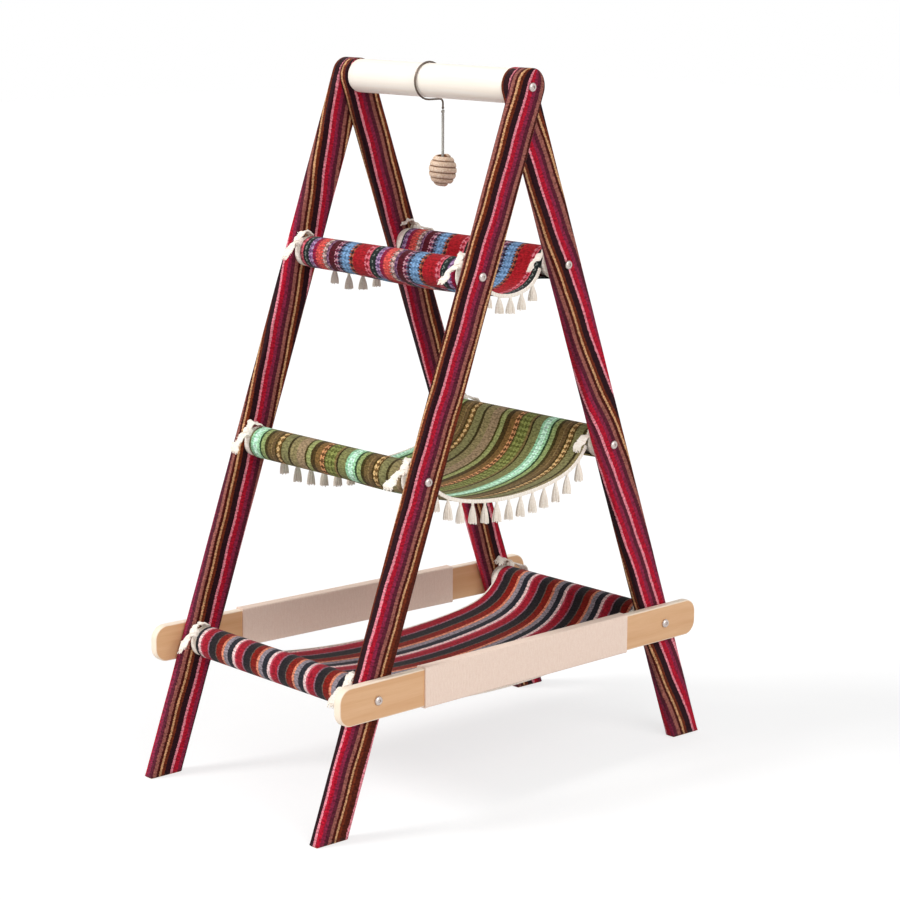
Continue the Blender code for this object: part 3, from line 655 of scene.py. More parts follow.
def side_board_line():
    """X of a side board's inner face at Y = 0, and its slope in X over Y."""
    half_foot = LEG_HALF_WIDTH / math.cos(LEAN)
    height = LEVELS["lower"][0]
    front_y = -leg_y(height + SIDE_BOARD_HEIGHT / 2) + half_foot
    rear_y = leg_y(height - SIDE_BOARD_HEIGHT / 2) + half_foot
    front_x = FRAME_WIDTH / 2 + GAP
    rear_x = LEG_X["rear"] + LEG_HALF_STACK + GAP
    slope = (rear_x - front_x) / (rear_y - front_y)
    return front_x - slope * front_y, slope


def beside_board(side, run, out, up):
    """Points drawn on a board, along, across and up, moved to a side board's place."""
    start_x, slope = side_board_line()
    skew = math.atan(slope)
    centre_x = start_x + SIDE_BOARD_THICKNESS / 2 / math.cos(skew)
    x = centre_x + math.sin(skew) * run + math.cos(skew) * out
    y = math.cos(skew) * run - math.sin(skew) * out
    return stack(SIDES[side] * x, y, LEVELS["lower"][0] + up)


class CATTREE_OT_stage(bpy.types.Operator):
    """Sets the camera, the lamps, the world and the floor"""
    bl_idname = "cattree.stage"
    bl_label = "Camera, Lights and Floor"

    EYE = Vector((2.5403, -2.2451, 1.1200))
    TARGET = Vector((0.0145, 0.0162, 0.4305))
    ROLL = math.radians(0.206)
    FOCAL_PIXELS = 2557.07
    PICTURE_PIXELS = 900
    SENSOR_MM = 36.0
    # Strength, angle of the disc in radians, and the direction that it shines from
    LAMPS = {"key": (1.98, 0.35, (-0.34, -0.70, 0.62)),
             "fill": (1.4, 0.80, (0.84, -0.20, 0.50))}
    WORLD_LIGHT = 0.41
    FLOOR_HALF = 12.0
    FLOOR_SEEN, FLOOR_BOUNCE, FLOOR_LIFT = 0.36, 0.80, 0.70

    def execute(self, context):
        scene = context.scene
        back = (self.EYE - self.TARGET).normalized()
        right = Vector((0, 0, 1)).cross(back).normalized()
        turn = Matrix((right, back.cross(right), back)).transposed().to_4x4()
        data = bpy.data.cameras.new("camera")
        data.sensor_width = self.SENSOR_MM
        data.lens = self.FOCAL_PIXELS / self.PICTURE_PIXELS * self.SENSOR_MM
        data.clip_end = 100.0
        camera = bpy.data.objects.new("camera", data)
        camera.matrix_world = (Matrix.Translation(self.EYE) @ turn
                               @ Matrix.Rotation(self.ROLL, 4, "Z"))
        scene.collection.objects.link(camera)
        scene.camera = camera
        scene.view_settings.view_transform = "Standard"
        for name, (strength, angle, place) in self.LAMPS.items():
            data = bpy.data.lights.new(name, "SUN")
            data.energy = strength
            data.angle = angle
            lamp = bpy.data.objects.new(name, data)
            lamp.rotation_euler = Vector(place).to_track_quat("Z", "Y").to_euler()
            scene.collection.objects.link(lamp)
        self.set_world(scene)
        self.add_floor(scene)
        return {"FINISHED"}

    def set_world(self, scene):
        """A soft white dome that looks white where nothing stands before it."""
        world = bpy.data.worlds.new("studio")
        world.use_nodes = True
        tree = world.node_tree
        seen = add(tree, "LightPath").outputs
        shown = add(tree, "Math", {0: seen["Is Camera Ray"], 1: seen["Is Glossy Ray"]},
                    operation="MAXIMUM")
        shown = add(tree, "Math", {0: shown, 1: seen["Is Transmission Ray"]},
                    operation="MAXIMUM")
        level = add(tree, "MapRange", {0: shown, 3: self.WORLD_LIGHT, 4: 1.0})
        feed(tree, tree.nodes["Background"], {0: (1, 1, 1, 1), 1: level})
        scene.world = world

    def add_floor(self, scene):
        """A white sweep: it takes the shadow, and looks white where none falls."""
        half = self.FLOOR_HALF
        corners = [(-half, -half, 0), (half, -half, 0), (half, half, 0), (-half, half, 0)]
        mesh = bpy.data.meshes.new("floor")
        mesh.from_pydata(corners, [], [(0, 1, 2, 3)])
        material, tree, shader = new_material("matt white sweep", 1.0, Specular_IOR_Level=0.0)
        # Seen straight or in a reflection it is lifted to white, with a pale shadow;
        # the light that it throws back on the object is that of white paper
        seen = add(tree, "LightPath").outputs
        shown = add(tree, "Math", {0: seen["Is Camera Ray"], 1: seen["Is Glossy Ray"]},
                    operation="MAXIMUM")
        tone = add(tree, "MapRange", {0: shown, 3: self.FLOOR_BOUNCE, 4: self.FLOOR_SEEN})
        lift = add(tree, "Math", {0: shown, 1: self.FLOOR_LIFT}, operation="MULTIPLY")
        feed(tree, shader, {"Base Color": tone, "Emission Color": (1, 1, 1, 1),
                            "Emission Strength": lift})
        mesh.materials.append(material)
        floor = bpy.data.objects.new("floor", mesh)
        scene.collection.objects.link(floor)


class CATTREE_OT_twine(bpy.types.Operator):
    """Makes the toy's twine and the knot that it hangs by"""
    bl_idname = "cattree.twine"
    bl_label = "Twine and Knot"

    def execute(self, context):
        yarn = spun_yarn("twisted grey twine", colours().twine, linear("#8E8C86"),
                         depth=0.0002)
        # Straight down under the ball's weight, as in the part
        path, route = (stack(TOY_X, TOY_Y, np.linspace(TWINE_TOP, TWINE_END, count))
                       for count in (140, 25))
        grid = tube_grid(path, sizes().twine_diameter / 2, X_AXIS, 18, 3, TWINE_LAY,
                         CORD_GROOVE)
        twine = make_piece("twine", [grid], yarn, "toy", "grey_twine", "toy_twine")
        knot = self.knot(yarn)
        return {"FINISHED"}

    def knot(self, yarn):
        """An overhand knot, (2 + cos 3t) cos 2t, (2 + cos 3t) sin 2t, 2.6 sin 3t, drawn tight.

        A short stem of twine fills its middle, where the wire's tip ends.
        """
        scale, yarn_radius, stem_radius = 0.00052, 0.00104, 0.0014
        centre = np.array([TOY_X, TOY_Y, KNOT_Z])
        t = np.linspace(0, 2 * np.pi, 97)
        ring = 2 + np.cos(3 * t)
        turns = centre + scale * stack(ring * np.cos(2 * t), ring * np.sin(2 * t),
                                       2.6 * np.sin(3 * t))
        stem = centre + np.linspace(-0.0030, 0.0026, 9)[:, None] * Z_AXIS
        grids = [tube_grid(turns, yarn_radius, Z_AXIS, closed=True),
                 tube_grid(stem, stem_radius, X_AXIS)]
        return make_piece("knot", grids, yarn, "knot", "grey_twine", "twine_knot")


class CATTREE_OT_ball(bpy.types.Operator):
    """Makes the rope ball: a laid rope wound round a core of packed fibre"""
    bl_idname = "cattree.ball"
    bl_label = "Rope Ball"

    def execute(self, context):
        rope_look = spun_yarn("laid sisal rope", colours().rope, colours().rope_dark, 0.85,
                              1.6, 0.0006)
        core_look = spun_yarn("packed fibre", linear("#7A4C2C"), linear("#4A2A16"), 0.95)
        # Painted shade in the grooves between the rope's turns
        self.paint_groove_shade(rope_look)
        make_piece("ball_rope", [self.rope()], rope_look, "toy", "sisal_rope", "toy_ball_rope")
        make_piece("ball_core", [self.core()], core_look, "toy", "dark_fibre", "toy_ball_core")
        return {"FINISHED"}

    def rope(self):
        """The rope winds six times from the ball's top to its foot.

        Its steps along the meridian of the ellipsoid that its centreline lies on are
        equal. Wound tight, it is flattened: wider along the meridian than it is deep.
        """
        wide = (BALL_WIDTH - ROPE_DIAMETER) / 2
        tall = (BALL_HEIGHT - ROPE_DIAMETER) / 2
        start = math.asin((sizes().twine_diameter / 2 + ROPE_DIAMETER / 2 + 2 * GAP) / wide)
        angle = np.linspace(start, np.pi - start, 800)
        meridian = stack(wide * np.sin(angle), tall * np.cos(angle))
        travel = along(meridian)
        count = ROPE_LOOPS * ROPE_LOOP_STEPS + 1
        goal = np.linspace(0, travel[-1], count)
        out, up = (np.interp(goal, travel, meridian[:, k]) for k in (0, 1))
        turn = np.linspace(0, 2 * np.pi * ROPE_LOOPS, count)
        path = BALL_CENTRE + around_z(out, turn, up)
        outward = unit(around_z(out / wide ** 2, turn, up / tall ** 2))
        return tube_grid(path, ROPE_DIAMETER / 2, outward, 24, 3, ROPE_LAY, ROPE_GROOVE,
                         stretch=ROPE_STRETCH, square=ROPE_SQUARE)

    def core(self):
        """An ellipsoid whose surface is ruffled by a few crossing waves."""
        polar = np.linspace(0, np.pi, 41)[:, None]
        turn = np.linspace(0, 2 * np.pi, 49)
        ruffle = 1 + 0.02 * np.sin(9 * turn + 4 * polar) * np.sin(7 * polar)
        radius = (BALL_WIDTH / 2 - ROPE_DIAMETER - GAP) * ruffle
        height = (BALL_HEIGHT / 2 - ROPE_DIAMETER - GAP) * ruffle
        points = BALL_CENTRE + around_z(radius * np.sin(polar), turn, height * np.cos(polar))
        return block(points, stack(turn, polar) * 0.01)

    def paint_groove_shade(self, material):
        """Darkens the rope in its grooves with painted shade, darker the deeper it lies.

        The depth is the length of ((x, y) / a, z / b) about the ball's centre, which
        is 1 on the outer ellipsoid.
        """
        tree = material.node_tree
        colour = tree.nodes["Principled BSDF"].inputs["Base Color"]
        place = add(tree, "TexCoord")
        offset = add(tree, "VectorMath", {0: place.outputs["Object"], 1: BALL_CENTRE},
                     operation="SUBTRACT")
        scaled = add(tree, "VectorMath",
                     {0: offset, 1: (2 / BALL_WIDTH, 2 / BALL_WIDTH, 2 / BALL_HEIGHT)},
                     operation="MULTIPLY")
        depth = add(tree, "VectorMath", {0: scaled}, operation="LENGTH")
        # Share of painted shade: 1 at 0.91 of the outer ellipsoid and deeper, 0 on it
        shade = add(tree, "MapRange", {0: depth.outputs["Value"], 1: 0.91, 2: 1.0,
                                       3: 1.0, 4: 0.0})
        # The painted groove shade: a dark brown mixed into the rope's colour
        mixed = add(tree, "Mix", {0: shade, 6: colour.links[0].from_socket,
                                  7: linear("#70401F")}, data_type="RGBA")
        tree.links.new(mixed.outputs[2], colour)


class CATTREE_OT_hook(bpy.types.Operator):
    """Finishes the wire hook on the top bar"""
    bl_idname = "cattree.hook"
    bl_label = "Wire Hook"

    def execute(self, context):
        paint("hook", drawn_metal("darkened steel wire", colours().wire, 0.42, 900.0))
        return {"FINISHED"}


class CATTREE_OT_bars(bpy.types.Operator):
    """Makes the top bar and the dowels, and finishes the wooden legs"""
    bl_idname = "cattree.bars"
    bl_label = "Bars and Legs"

    def execute(self, context):
        pale = sanded_wood("sanded pale beech", colours().pale_wood, colours().pale_grain, 0)
        birch = sanded_wood("lacquered birch, upright", colours().birch,
                            colours().birch_grain, 2)
        for end in ENDS:
            for side in SIDES:
                paint(f"leg_{end}_{side}", birch)
        self.add_rod("top_bar", TOP_BAR_DIAMETER, INNER_FACE["rear"], 0.0, PIVOT_HEIGHT, pale)
        for level, (height, *_) in LEVELS.items():
            for end, sign in ENDS.items():
                self.add_rod(f"dowel_{level}_{end}", DOWEL_DIAMETER, INNER_FACE[end],
                             sign * leg_y(height), height, pale)
        return {"FINISHED"}

    def add_rod(self, node, diameter, face, y, z, material):
        """A turned rod along X: a profile of radius over length with eased ends."""
        half = face - GAP
        ease = ROD_EASE
        radius = diameter / 2
        run = np.linspace(-half + ease, half - ease, 24)
        profile = np.concatenate([
            [[0, -half], [radius - ease, -half], [radius - 0.3 * ease, -half + 0.3 * ease]],
            stack(radius, run),
            [[radius - 0.3 * ease, half - 0.3 * ease], [radius - ease, half], [0, half]]])
        grid = turned_grid(profile, 64)
        points = stack(grid[..., 2], y + grid[..., 0], z + grid[..., 1])
        make_piece(f"rod_{node}", [block(points)], material, "frame", "pale_wood", node)


class CATTREE_OT_covers(bpy.types.Operator):
    """Makes the striped cloth covers of the four legs"""
    bl_idname = "cattree.covers"
    bl_label = "Leg Covers"

    # The stripes drift across each leg, as the cloth was not cut along them: the
    # length up the leg, and how far behind its centreline the first band starts, in mm
    DRIFT = {
        ("front", "right"): [(20, -32), (100, -31), (240, -27), (390, -23), (490, -21),
                             (590, -17.9), (690, -15), (770, -13.1), (870, -10.2),
                             (970, -8.3)],
        ("rear", "right"): [(20, 35.6), (90, 23.6), (165, 14), (205, 7.5), (240, 5.4),
                            (290, 1.8), (390, -6.6), (440, -13), (490, -19.8),
                            (540, -31), (590, -39), (640, -45), (690, -48.6),
                            (790, -59.4), (890, -68.3), (970, -75)],
        ("front", "left"): [(40, 4.2), (140, 4.2), (240, 1.8), (340, -1), (410, -4.2),
                            (510, -12.6), (540, -15), (590, -21), (690, -31), (740, -39),
                            (790, -47.5), (840, -57.1), (890, -64.3), (970, -75)],
        ("rear", "left"): [(20, -45), (400, -36), (600, -29), (790, -22.2), (930, -18.6),
                           (970, -17)],
    }

    def execute(self, context):
        plain = woven_stripes("yarn-dyed striped cotton", LEG_BANDS)
        cloths = {("front", "right"): woven_stripes("yarn-dyed cotton, rust edge", RUST_BANDS),
                  ("rear", "right"): woven_stripes("yarn-dyed cotton, two reds",
                                                   SPLICED_BANDS)}
        for end in ENDS:
            for side in SIDES:
                points, uv, length, girth = self.sleeve(end, side)
                cover = make_piece(f"cover_{end}_{side}", [block(points, uv, False, True)],
                                   cloths.get((end, side), plain), "frame",
                                   "striped_cloth", f"leg_cover_{end}_{side}")
                wall(cover, sizes().cover_thickness, -1)
        return {"FINISHED"}

    def sleeve(self, end, side):
        """A flat sleeve swept up the leg.

        A point lies at the foot, plus s along the leg, plus a across it, plus b
        along X, where a and b run round a rounded rectangle. Over the top bolt, at
        s = S + w sin t, the width shrinks as cos t, so the head is a half circle.
        """
        sign = ENDS[end]
        loop, girth = rounded_loop(2 * LEG_HALF_WIDTH, 2 * LEG_HALF_STACK, COVER_CORNER, 5, 10)
        across, out = loop[:, 0], loop[:, 1]
        top = PIVOT_HEIGHT / math.cos(LEAN)
        foot = (COVER_FOOT_LIFT - across * sign * math.sin(LEAN)) / math.cos(LEAN)
        share = np.linspace(0, 1, 150)[:, None]
        turn = np.radians(np.linspace(4, 87, 20))[:, None]
        s = np.concatenate([foot + (top - foot) * share,
                            top + LEG_HALF_WIDTH * np.sin(turn) + 0 * across])
        a = across * np.concatenate([np.ones_like(share), np.cos(turn)])
        # The cloth is a little slack: shallow waves across the faces, and a fuller hem
        slack = 0.00018 * np.sin(s * 61 + across * 90) * np.sin(s * 23 + 1.3 * sign)
        hem = 0.0005 * np.exp(-((s - foot) / 0.004) ** 2)
        b = out + np.sign(out) * (slack + hem)
        points = stack(SIDES[side] * (LEG_X[end] + b),
                       sign * (FOOT_SPREAD / 2 - math.sin(LEAN) * s) + math.cos(LEAN) * a,
                       math.cos(LEAN) * s + sign * math.sin(LEAN) * a)
        # U is the place across the seen face: outer on the right, inner on the left
        inner_middle = LEG_HALF_WIDTH - COVER_CORNER
        outer_middle = girth[-1] / 2 + inner_middle
        seen = girth - outer_middle if side == "right" else inner_middle - girth
        length, drift = np.array(self.DRIFT[end, side]).T / MM_PER_METRE
        waver = 0.0005 * np.sin(s * 31 + 2 * sign) + 0.0004 * np.sin(s * 83)
        u = seen - np.interp(s, length, drift) + waver
        return points, stack(u, s), top + LEG_HALF_WIDTH, girth[-1]


class CATTREE_OT_boards(bpy.types.Operator):
    """Makes the two side boards"""
    bl_idname = "cattree.boards"
    bl_label = "Side Boards"

    def execute(self, context):
        # Its pale edge colour is a painted highlight on the boards' edges
        birch = sanded_wood("lacquered birch, level", colours().birch, colours().birch_grain,
                            1, edge=linear("#F8E6D0"))
        ease = SIDE_BOARD_EASE
        half = SIDE_BOARD_THICKNESS / 2
        # The outline is inset by ease (1 - cos t) where the edge is rounded by t
        turn = np.radians(np.linspace(0, 90, 7))
        level = half - ease * (1 - np.sin(turn))
        level = np.concatenate([-level[::-1], level])
        inset = ease * (1 - np.cos(turn))
        inset = np.concatenate([inset[::-1], inset])
        loops = np.stack([rounded_loop(SIDE_BOARD_LENGTH - 2 * shrink,
                                       SIDE_BOARD_HEIGHT - 2 * shrink,
                                       SIDE_BOARD_CORNER - shrink, 16, 40)[0]
                          for shrink in inset])
        # U is the share of the painted edge highlight: 1 on the edge, falling to 0 at the rims of
        # both faces
        edge_highlight_share = np.clip(2 * (1 - inset / ease) - 0.2, 0, 1)
        uv = stack(edge_highlight_share[:, None], 0 * loops[..., 0])
        for side in SIDES:
            points = beside_board(side, loops[..., 0], level[:, None], loops[..., 1])
            make_piece(f"board_{side}", [block(points, uv, True, True)], birch, "frame",
                       "birch", f"side_board_{side}")
        return {"FINISHED"}


class CATTREE_OT_wraps(bpy.types.Operator):
    """Makes the ribbed cloth wraps on the side boards"""
    bl_idname = "cattree.wraps"
    bl_label = "Side Wraps"

    def execute(self, context):
        cloth = spun_yarn("ribbed cotton wrap", colours().wrap, linear("#E8CFBF"), 0.9, 9.0,
                          0.00008)
        # The inner wall is plain, and the grid runs along it back to where it began
        (inside, _), (outside, girth) = (
            rounded_loop(SIDE_BOARD_THICKNESS + 2 * space, SIDE_BOARD_HEIGHT + 2 * space,
                         WRAP_CORNER - WRAP_CLOTH + space - GAP, 5, 8)
            for space in (GAP, GAP + WRAP_CLOTH))
        half = WRAP_LENGTH / 2
        run = np.linspace(-half, half, 870)[:, None]
        back = np.linspace(half, -half, 30)[:, None]
        whole = np.concatenate([run, back, run[:1]])
        # Ribs go round the board; the last one at each end stands a little proud
        end = np.exp(-((half - np.abs(run)) / END_RIB_REACH) ** 2)
        relief = RIB_HEIGHT * np.cos(2 * np.pi * run / WRAP_RIB) + END_RIB_HEIGHT * end
        out = outside[:, 0] * (1 + relief / (SIDE_BOARD_THICKNESS / 2 + WRAP_CLOTH))
        out = np.concatenate([out, inside[:, 0] + 0 * back, out[:1]])
        up = outside[:, 1] + np.sign(outside[:, 1]) * relief
        up = np.concatenate([up, inside[:, 1] + 0 * back, up[:1]])
        for side in SIDES:
            points = beside_board(side, whole, out, up)
            wrap = make_piece(f"wrap_{side}", [block(points, stack(girth, whole))], cloth,
                              "frame", "cream_cord", f"side_wrap_{side}")
        return {"FINISHED"}


class CATTREE_OT_bolts(bpy.types.Operator):
    """Makes the domed bolt heads with their hexagonal sockets"""
    bl_idname = "cattree.bolts"
    bl_label = "Bolts"

    def execute(self, context):
        steel = drawn_metal("nickel-plated steel", colours().steel, 0.30, 500.0)
        head, height, edge = BOLT_HEAD_RADIUS, BOLT_HEAD_HEIGHT, BOLT_EDGE
        socket, depth = BOLT_SOCKET_RADIUS, BOLT_SOCKET_DEPTH
        turn = np.linspace(0.0, np.pi / 2, 9)
        dome = stack(head * (0.42 + 0.58 * np.sin(turn)), height * (0.16 + 0.84 * np.cos(turn)))
        profile = np.concatenate([
            [[0, height - depth - BOLT_SOCKET_PIT], [socket, height - depth],
             [socket, height - edge], [socket + edge, height]], dome,
            [[head, edge], [head - BOLT_CHAMFER, 0], [BOLT_SHANK_RADIUS, 0],
             [BOLT_SHANK_RADIUS, -BOLT_LENGTH], [0, -BOLT_LENGTH]]])

        def hexagon(angle):
            """Rows 1 to 3 follow a hexagon: 1 / cos of the angle from each side's middle."""
            wedge = (angle + np.pi / 6) % (np.pi / 3) - np.pi / 6
            scale = np.ones((len(profile), len(angle)))
            scale[1:4] = 1 / np.cos(wedge)
            return scale

        grid = turned_grid(profile, 48, hexagon)
        nodes = [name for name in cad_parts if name.startswith("bolt_")]
        blocks = []
        for name in nodes:
            low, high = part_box(name)
            sign = 1 if name.endswith("right") else -1
            seat = (high.x if sign > 0 else -low.x) - height
            blocks.append(block(stack(sign * (seat + grid[..., 2]),
                                      (low.y + high.y) / 2 + grid[..., 0],
                                      (low.z + high.z) / 2 + grid[..., 1])))
        make_piece("bolts", blocks, steel, "frame", "plated_steel", *nodes)
        return {"FINISHED"}


class CATTREE_OT_fringes(bpy.types.Operator):
    """Makes the braid, the tassels and the piping along the hammocks' sides"""
    bl_idname = "cattree.fringes"
    bl_label = "Fringes and Piping"

    def execute(self, context):
        cotton = spun_yarn("twisted cotton braid", colours().cotton, linear("#E9DAC8"))
        lengths = {"upper": sizes().upper_tassel, "middle": sizes().middle_tassel}
        random = np.random.default_rng(11)
        for level in LEVELS:
            for side, sign in SIDES.items():
                end_y = bed_end(level) - TRIM_END_RUN
                y = -end_y * np.cos(np.linspace(0, np.pi, 1200))
                x = sign * (half_width(level, y) + TRIM_OUTSIDE)
                edge = stack(x, y, bed_height(level, y, 1.0))
                run = along(edge)
                even = np.linspace(0, run[-1], int(run[-1] / TRIM_STEP))
                path = stack(*(np.interp(even, run, edge[:, k]) for k in range(3)))
                if level in lengths:
                    blocks = [self.braid(path)]
                    for spot_y in self.tassel_places(end_y):
                        spot = np.array([np.interp(spot_y, y, x), spot_y,
                                         bed_height(level, spot_y, 1.0)])
                        blocks += self.tassel(spot, lengths[level], random)
                    node = f"fringe_{level}_{side}"
                else:
                    path = path + sign * PIPING_OUTSIDE * X_AXIS
                    blocks = [tube_grid(path, PIPING_RADIUS, X_AXIS, 12, 2, PIPING_LAY,
                                        CORD_GROOVE)]
                    node = f"piping_{level}_{side}"
                make_piece(f"trim_{level}_{side}", blocks, cotton, "frame", "cream_cotton", node)
        return {"FINISHED"}

    def tassel_places(self, end_y):
        count = int(2 * (end_y - TASSEL_END_SPACE) / TASSEL_SPACING) + 1
        return (np.arange(count) - (count - 1) / 2) * TASSEL_SPACING

    def braid(self, path):
        """A flat plait: a strap whose thickness swells in herringbone, at s and |w|."""
        upward = unit(np.cross(X_AXIS, tangents(path)))
        points, uv, *_ = strap_grid(path, upward, sizes().braid_width, BRAID_THICKNESS)
        width, run = uv[..., 0], uv[..., 1]
        plait = np.cos(2 * np.pi * (run + 0.7 * np.abs(width)) / BRAID_PLAIT)
        off = points - path[:, None]
        points = path[:, None] + off * (1 + BRAID_SWELL * plait)[..., None]
        return block(points, uv, True, True)

    def tassel(self, spot, length, random):
        """A tied head, and a skirt of strands that flare from the neck to the foot.

        The head and the core of the skirt are one turned profile. Each strand runs
        from the neck to its place on the foot's disc, on a curve that opens fast
        and then falls straight.
        """
        neck = 0.22 * length
        profile = [(0, 0.0010), (0.0012, 0.0004), (NECK_RADIUS, -0.0012), (0.0020, -0.0030),
                   (NECK_RADIUS, -neck * 0.85), (0.0014, -neck), (0.0026, -0.36 * length),
                   (0.0040, -0.62 * length), (0.0047, -0.93 * length), (0, -0.93 * length)]
        core = turned_grid(profile, 12) + spot
        turn = np.arctan2(core[..., 1] - spot[1], core[..., 0] - spot[0])
        blocks = [block(core, stack(turn * 0.6, core[..., 2] - spot[2]))]
        share = np.linspace(0, 1, 6)
        for i in range(TASSEL_STRANDS):
            angle = 2 * np.pi * i / TASSEL_STRANDS + random.uniform(-0.12, 0.12)
            foot = random.uniform(0.0044, 0.0060)
            reach = STRAND_ROOT + (foot - STRAND_ROOT) * np.sin(share * np.pi / 2) ** 0.9
            fall = -neck - (length * random.uniform(0.94, 1.0) - neck) * share
            path = spot + around_z(reach, angle, fall)
            blocks.append(tube_grid(path, STRAND_RADIUS, (1, 0.2, 0), 5))
        binding = spot + around_z(NECK_RADIUS, np.linspace(0, 2 * np.pi, 17), -neck)
        blocks.append(tube_grid(binding, BINDING_RADIUS, Z_AXIS, 6, closed=True))
        return blocks


class CATTREE_OT_ribbons(bpy.types.Operator):
    """Makes the cotton ribbons tied round the dowels"""
    bl_idname = "cattree.ribbons"
    bl_label = "Ribbons"

    def execute(self, context):
        cotton = spun_yarn("woven cotton tape", colours().cotton, linear("#E8DCCC"), 0.92,
                           6.0, 0.00025)
        random = np.random.default_rng(5)
        for level, (height, *_) in LEVELS.items():
            for end, sign in ENDS.items():
                for side, x_sign in SIDES.items():
                    centre = np.array([x_sign * (INNER_FACE[end] - HAMMOCK_END_SPACE / 2),
                                       sign * leg_y(height), height])
                    angle = RIBBON_KNOT_ANGLES[end] + RIBBON_TURN.get((end, side), 0.0)
                    blocks = self.ribbon(centre, math.radians(angle), random)
                    make_piece(f"tie_{level}_{end}_{side}", blocks, cotton, "frame",
                               "cream_cotton", f"ribbon_{level}_{end}_{side}")
        return {"FINISHED"}

    def ribbon(self, centre, angle, random):
        """Two turns of tape round the dowel, a crossing knot and two frayed tails.

        A turn is a circle about the dowel whose place along X swings with the
        angle, so the turns cross. The knot is three short loops of tape over the
        turns, filled by a lump, and a tail runs out from it to each side and falls.
        """
        width = sizes().ribbon_width
        bare = DOWEL_DIAMETER / 2 + 2 * GAP
        out = np.array([0.0, math.cos(angle), math.sin(angle)])
        around = np.array([0.0, -math.sin(angle), math.cos(angle)])
        blocks = []
        t = circle(65)
        for k, swing in enumerate(TURN_SWINGS):
            radius = bare + 0.0006 + 0.0006 * k + 0.00015 * np.sin(5 * t + k)
            path = (centre + radius * (np.cos(t) * out + np.sin(t) * around)
                    + swing * np.sin(t) * X_AXIS)
            tilt = np.cos(t) * swing / radius
            across = unit(X_AXIS + tilt * (np.cos(t) * around - np.sin(t) * out))
            blocks.append(strap_grid(path, across, width * 0.86, TURN_TAPE, closed=True))
        middle = centre + out * (bare + RIBBON_KNOT_STAND)
        t = circle(33)
        for skew, wide, tall, tape in KNOT_LOOPS:
            lean = unit(X_AXIS * math.cos(skew) + around * math.sin(skew))
            across = unit(around * math.cos(skew) - X_AXIS * math.sin(skew))
            path = middle + wide * np.cos(t) * lean + tall * np.sin(t) * out
            blocks.append(strap_grid(path, across + 0 * path, tape, KNOT_TAPE, closed=True))
        polar = np.linspace(0, np.pi, 13)[:, None]
        turn = np.linspace(0, 2 * np.pi, 25)
        lump = 1 + 0.08 * np.sin(3 * turn + 2 * polar) * np.sin(polar)
        core = KNOT_CORE * lump[..., None] * around_z(np.sin(polar), turn, np.cos(polar))
        blocks.append(block(middle + core @ np.stack([X_AXIS, around, out])))
        spread = math.radians(RIBBON_TAIL_ANGLE)
        inward = -math.copysign(1.0, centre[0]) * X_AXIS
        for way in (-1, 1):
            aim = out * math.cos(spread) + around * way * math.sin(spread)
            fall = unit(aim - RIBBON_TAIL_FALL * Z_AXIS)
            blocks += self.tail(middle + out * 0.0012, aim, fall, inward, width, random)
        return blocks

    def tail(self, root, aim, fall, inward, width, random):
        """A ruched tail of tape with frayed edges.

        Its middle line is a quadratic curve from the knot, rippled by a sine along
        its length, and it moves away from the leg, along X, as it widens; its
        section is cupped, by a share of (2 w / width) squared.
        """
        t = np.linspace(0, 1, 49)[:, None]
        phase = random.uniform(0, 6)
        knee = root + aim * RIBBON_TAIL_REACH * random.uniform(0.94, 1.04)
        tip = knee + fall * RIBBON_TAIL_REACH * random.uniform(0.90, 1.0)
        path = (1 - t) ** 2 * root + 2 * t * (1 - t) * (knee + aim * 0.002) + t ** 2 * tip
        ripple = unit(np.cross(tangents(path), inward))
        path = path + 0.0007 * np.sqrt(t) * np.sin(14 * t + phase) * ripple
        path = path + TAIL_INWARD * t * inward
        direction = tangents(path)
        normal = unit(np.cross(direction, inward))
        twist = random.uniform(-0.35, 0.35) * t + 0.16 * np.sin(9 * t + phase)
        across = unit(np.cos(twist) * inward + np.sin(twist) * normal)
        breadth = width * (0.74 + 0.46 * np.sqrt(t[:, 0]) + 0.05 * np.sin(23 * t[:, 0] + phase))
        points, uv, *_ = strap_grid(path, across, breadth, TAIL_TAPE)
        cup = (2 * uv[..., 0] / breadth[:, None]) ** 2 * np.sin(11 * t + 2 * phase)
        pleat = np.sin(2 * np.pi * uv[..., 0] / TAIL_PLEAT + phase)
        lift = 0.0011 * cup + 0.00035 * pleat
        points = points + lift[..., None] * np.cross(direction, across)[:, None]
        blocks = [block(points, uv, True, True)]
        # Loose threads at the cut end, and shorter ones along both edges
        for i in range(END_THREADS):
            place = (i / (END_THREADS - 1) - 0.5) * breadth[-1] * 0.92
            start = path[-1] - direction[-1] * 0.001 + across[-1] * place
            drift = across[-1] * random.uniform(-0.0018, 0.0018)
            aim = direction[-1] * random.uniform(0.0030, 0.0064)
            bend = drift - Z_AXIS * random.uniform(0.0002, 0.0014)
            blocks.append(self.thread(start, aim, bend, END_THREAD_RADIUS, (1, 0.3, 0.1)))
        for _ in range(EDGE_THREADS):
            row = int(random.integers(10, 48))
            edge = random.choice([-1.0, 1.0])
            start = path[row] + across[row] * edge * breadth[row] * 0.47
            aim = across[row] * edge * random.uniform(0.0010, 0.0022)
            bend = direction[row] * random.uniform(0, 0.0016) - Z_AXIS * random.uniform(0, 0.0010)
            blocks.append(self.thread(start, aim, bend, EDGE_THREAD_RADIUS, (0.2, 0.3, 1)))
        return blocks

    def thread(self, start, aim, bend, radius, reference):
        """A loose thread: at a share s of its length it is at start + aim s + bend s^2."""
        s = np.linspace(0, 1, 6)[:, None]
        return tube_grid(start + aim * s + bend * s ** 2, radius, reference, 5)


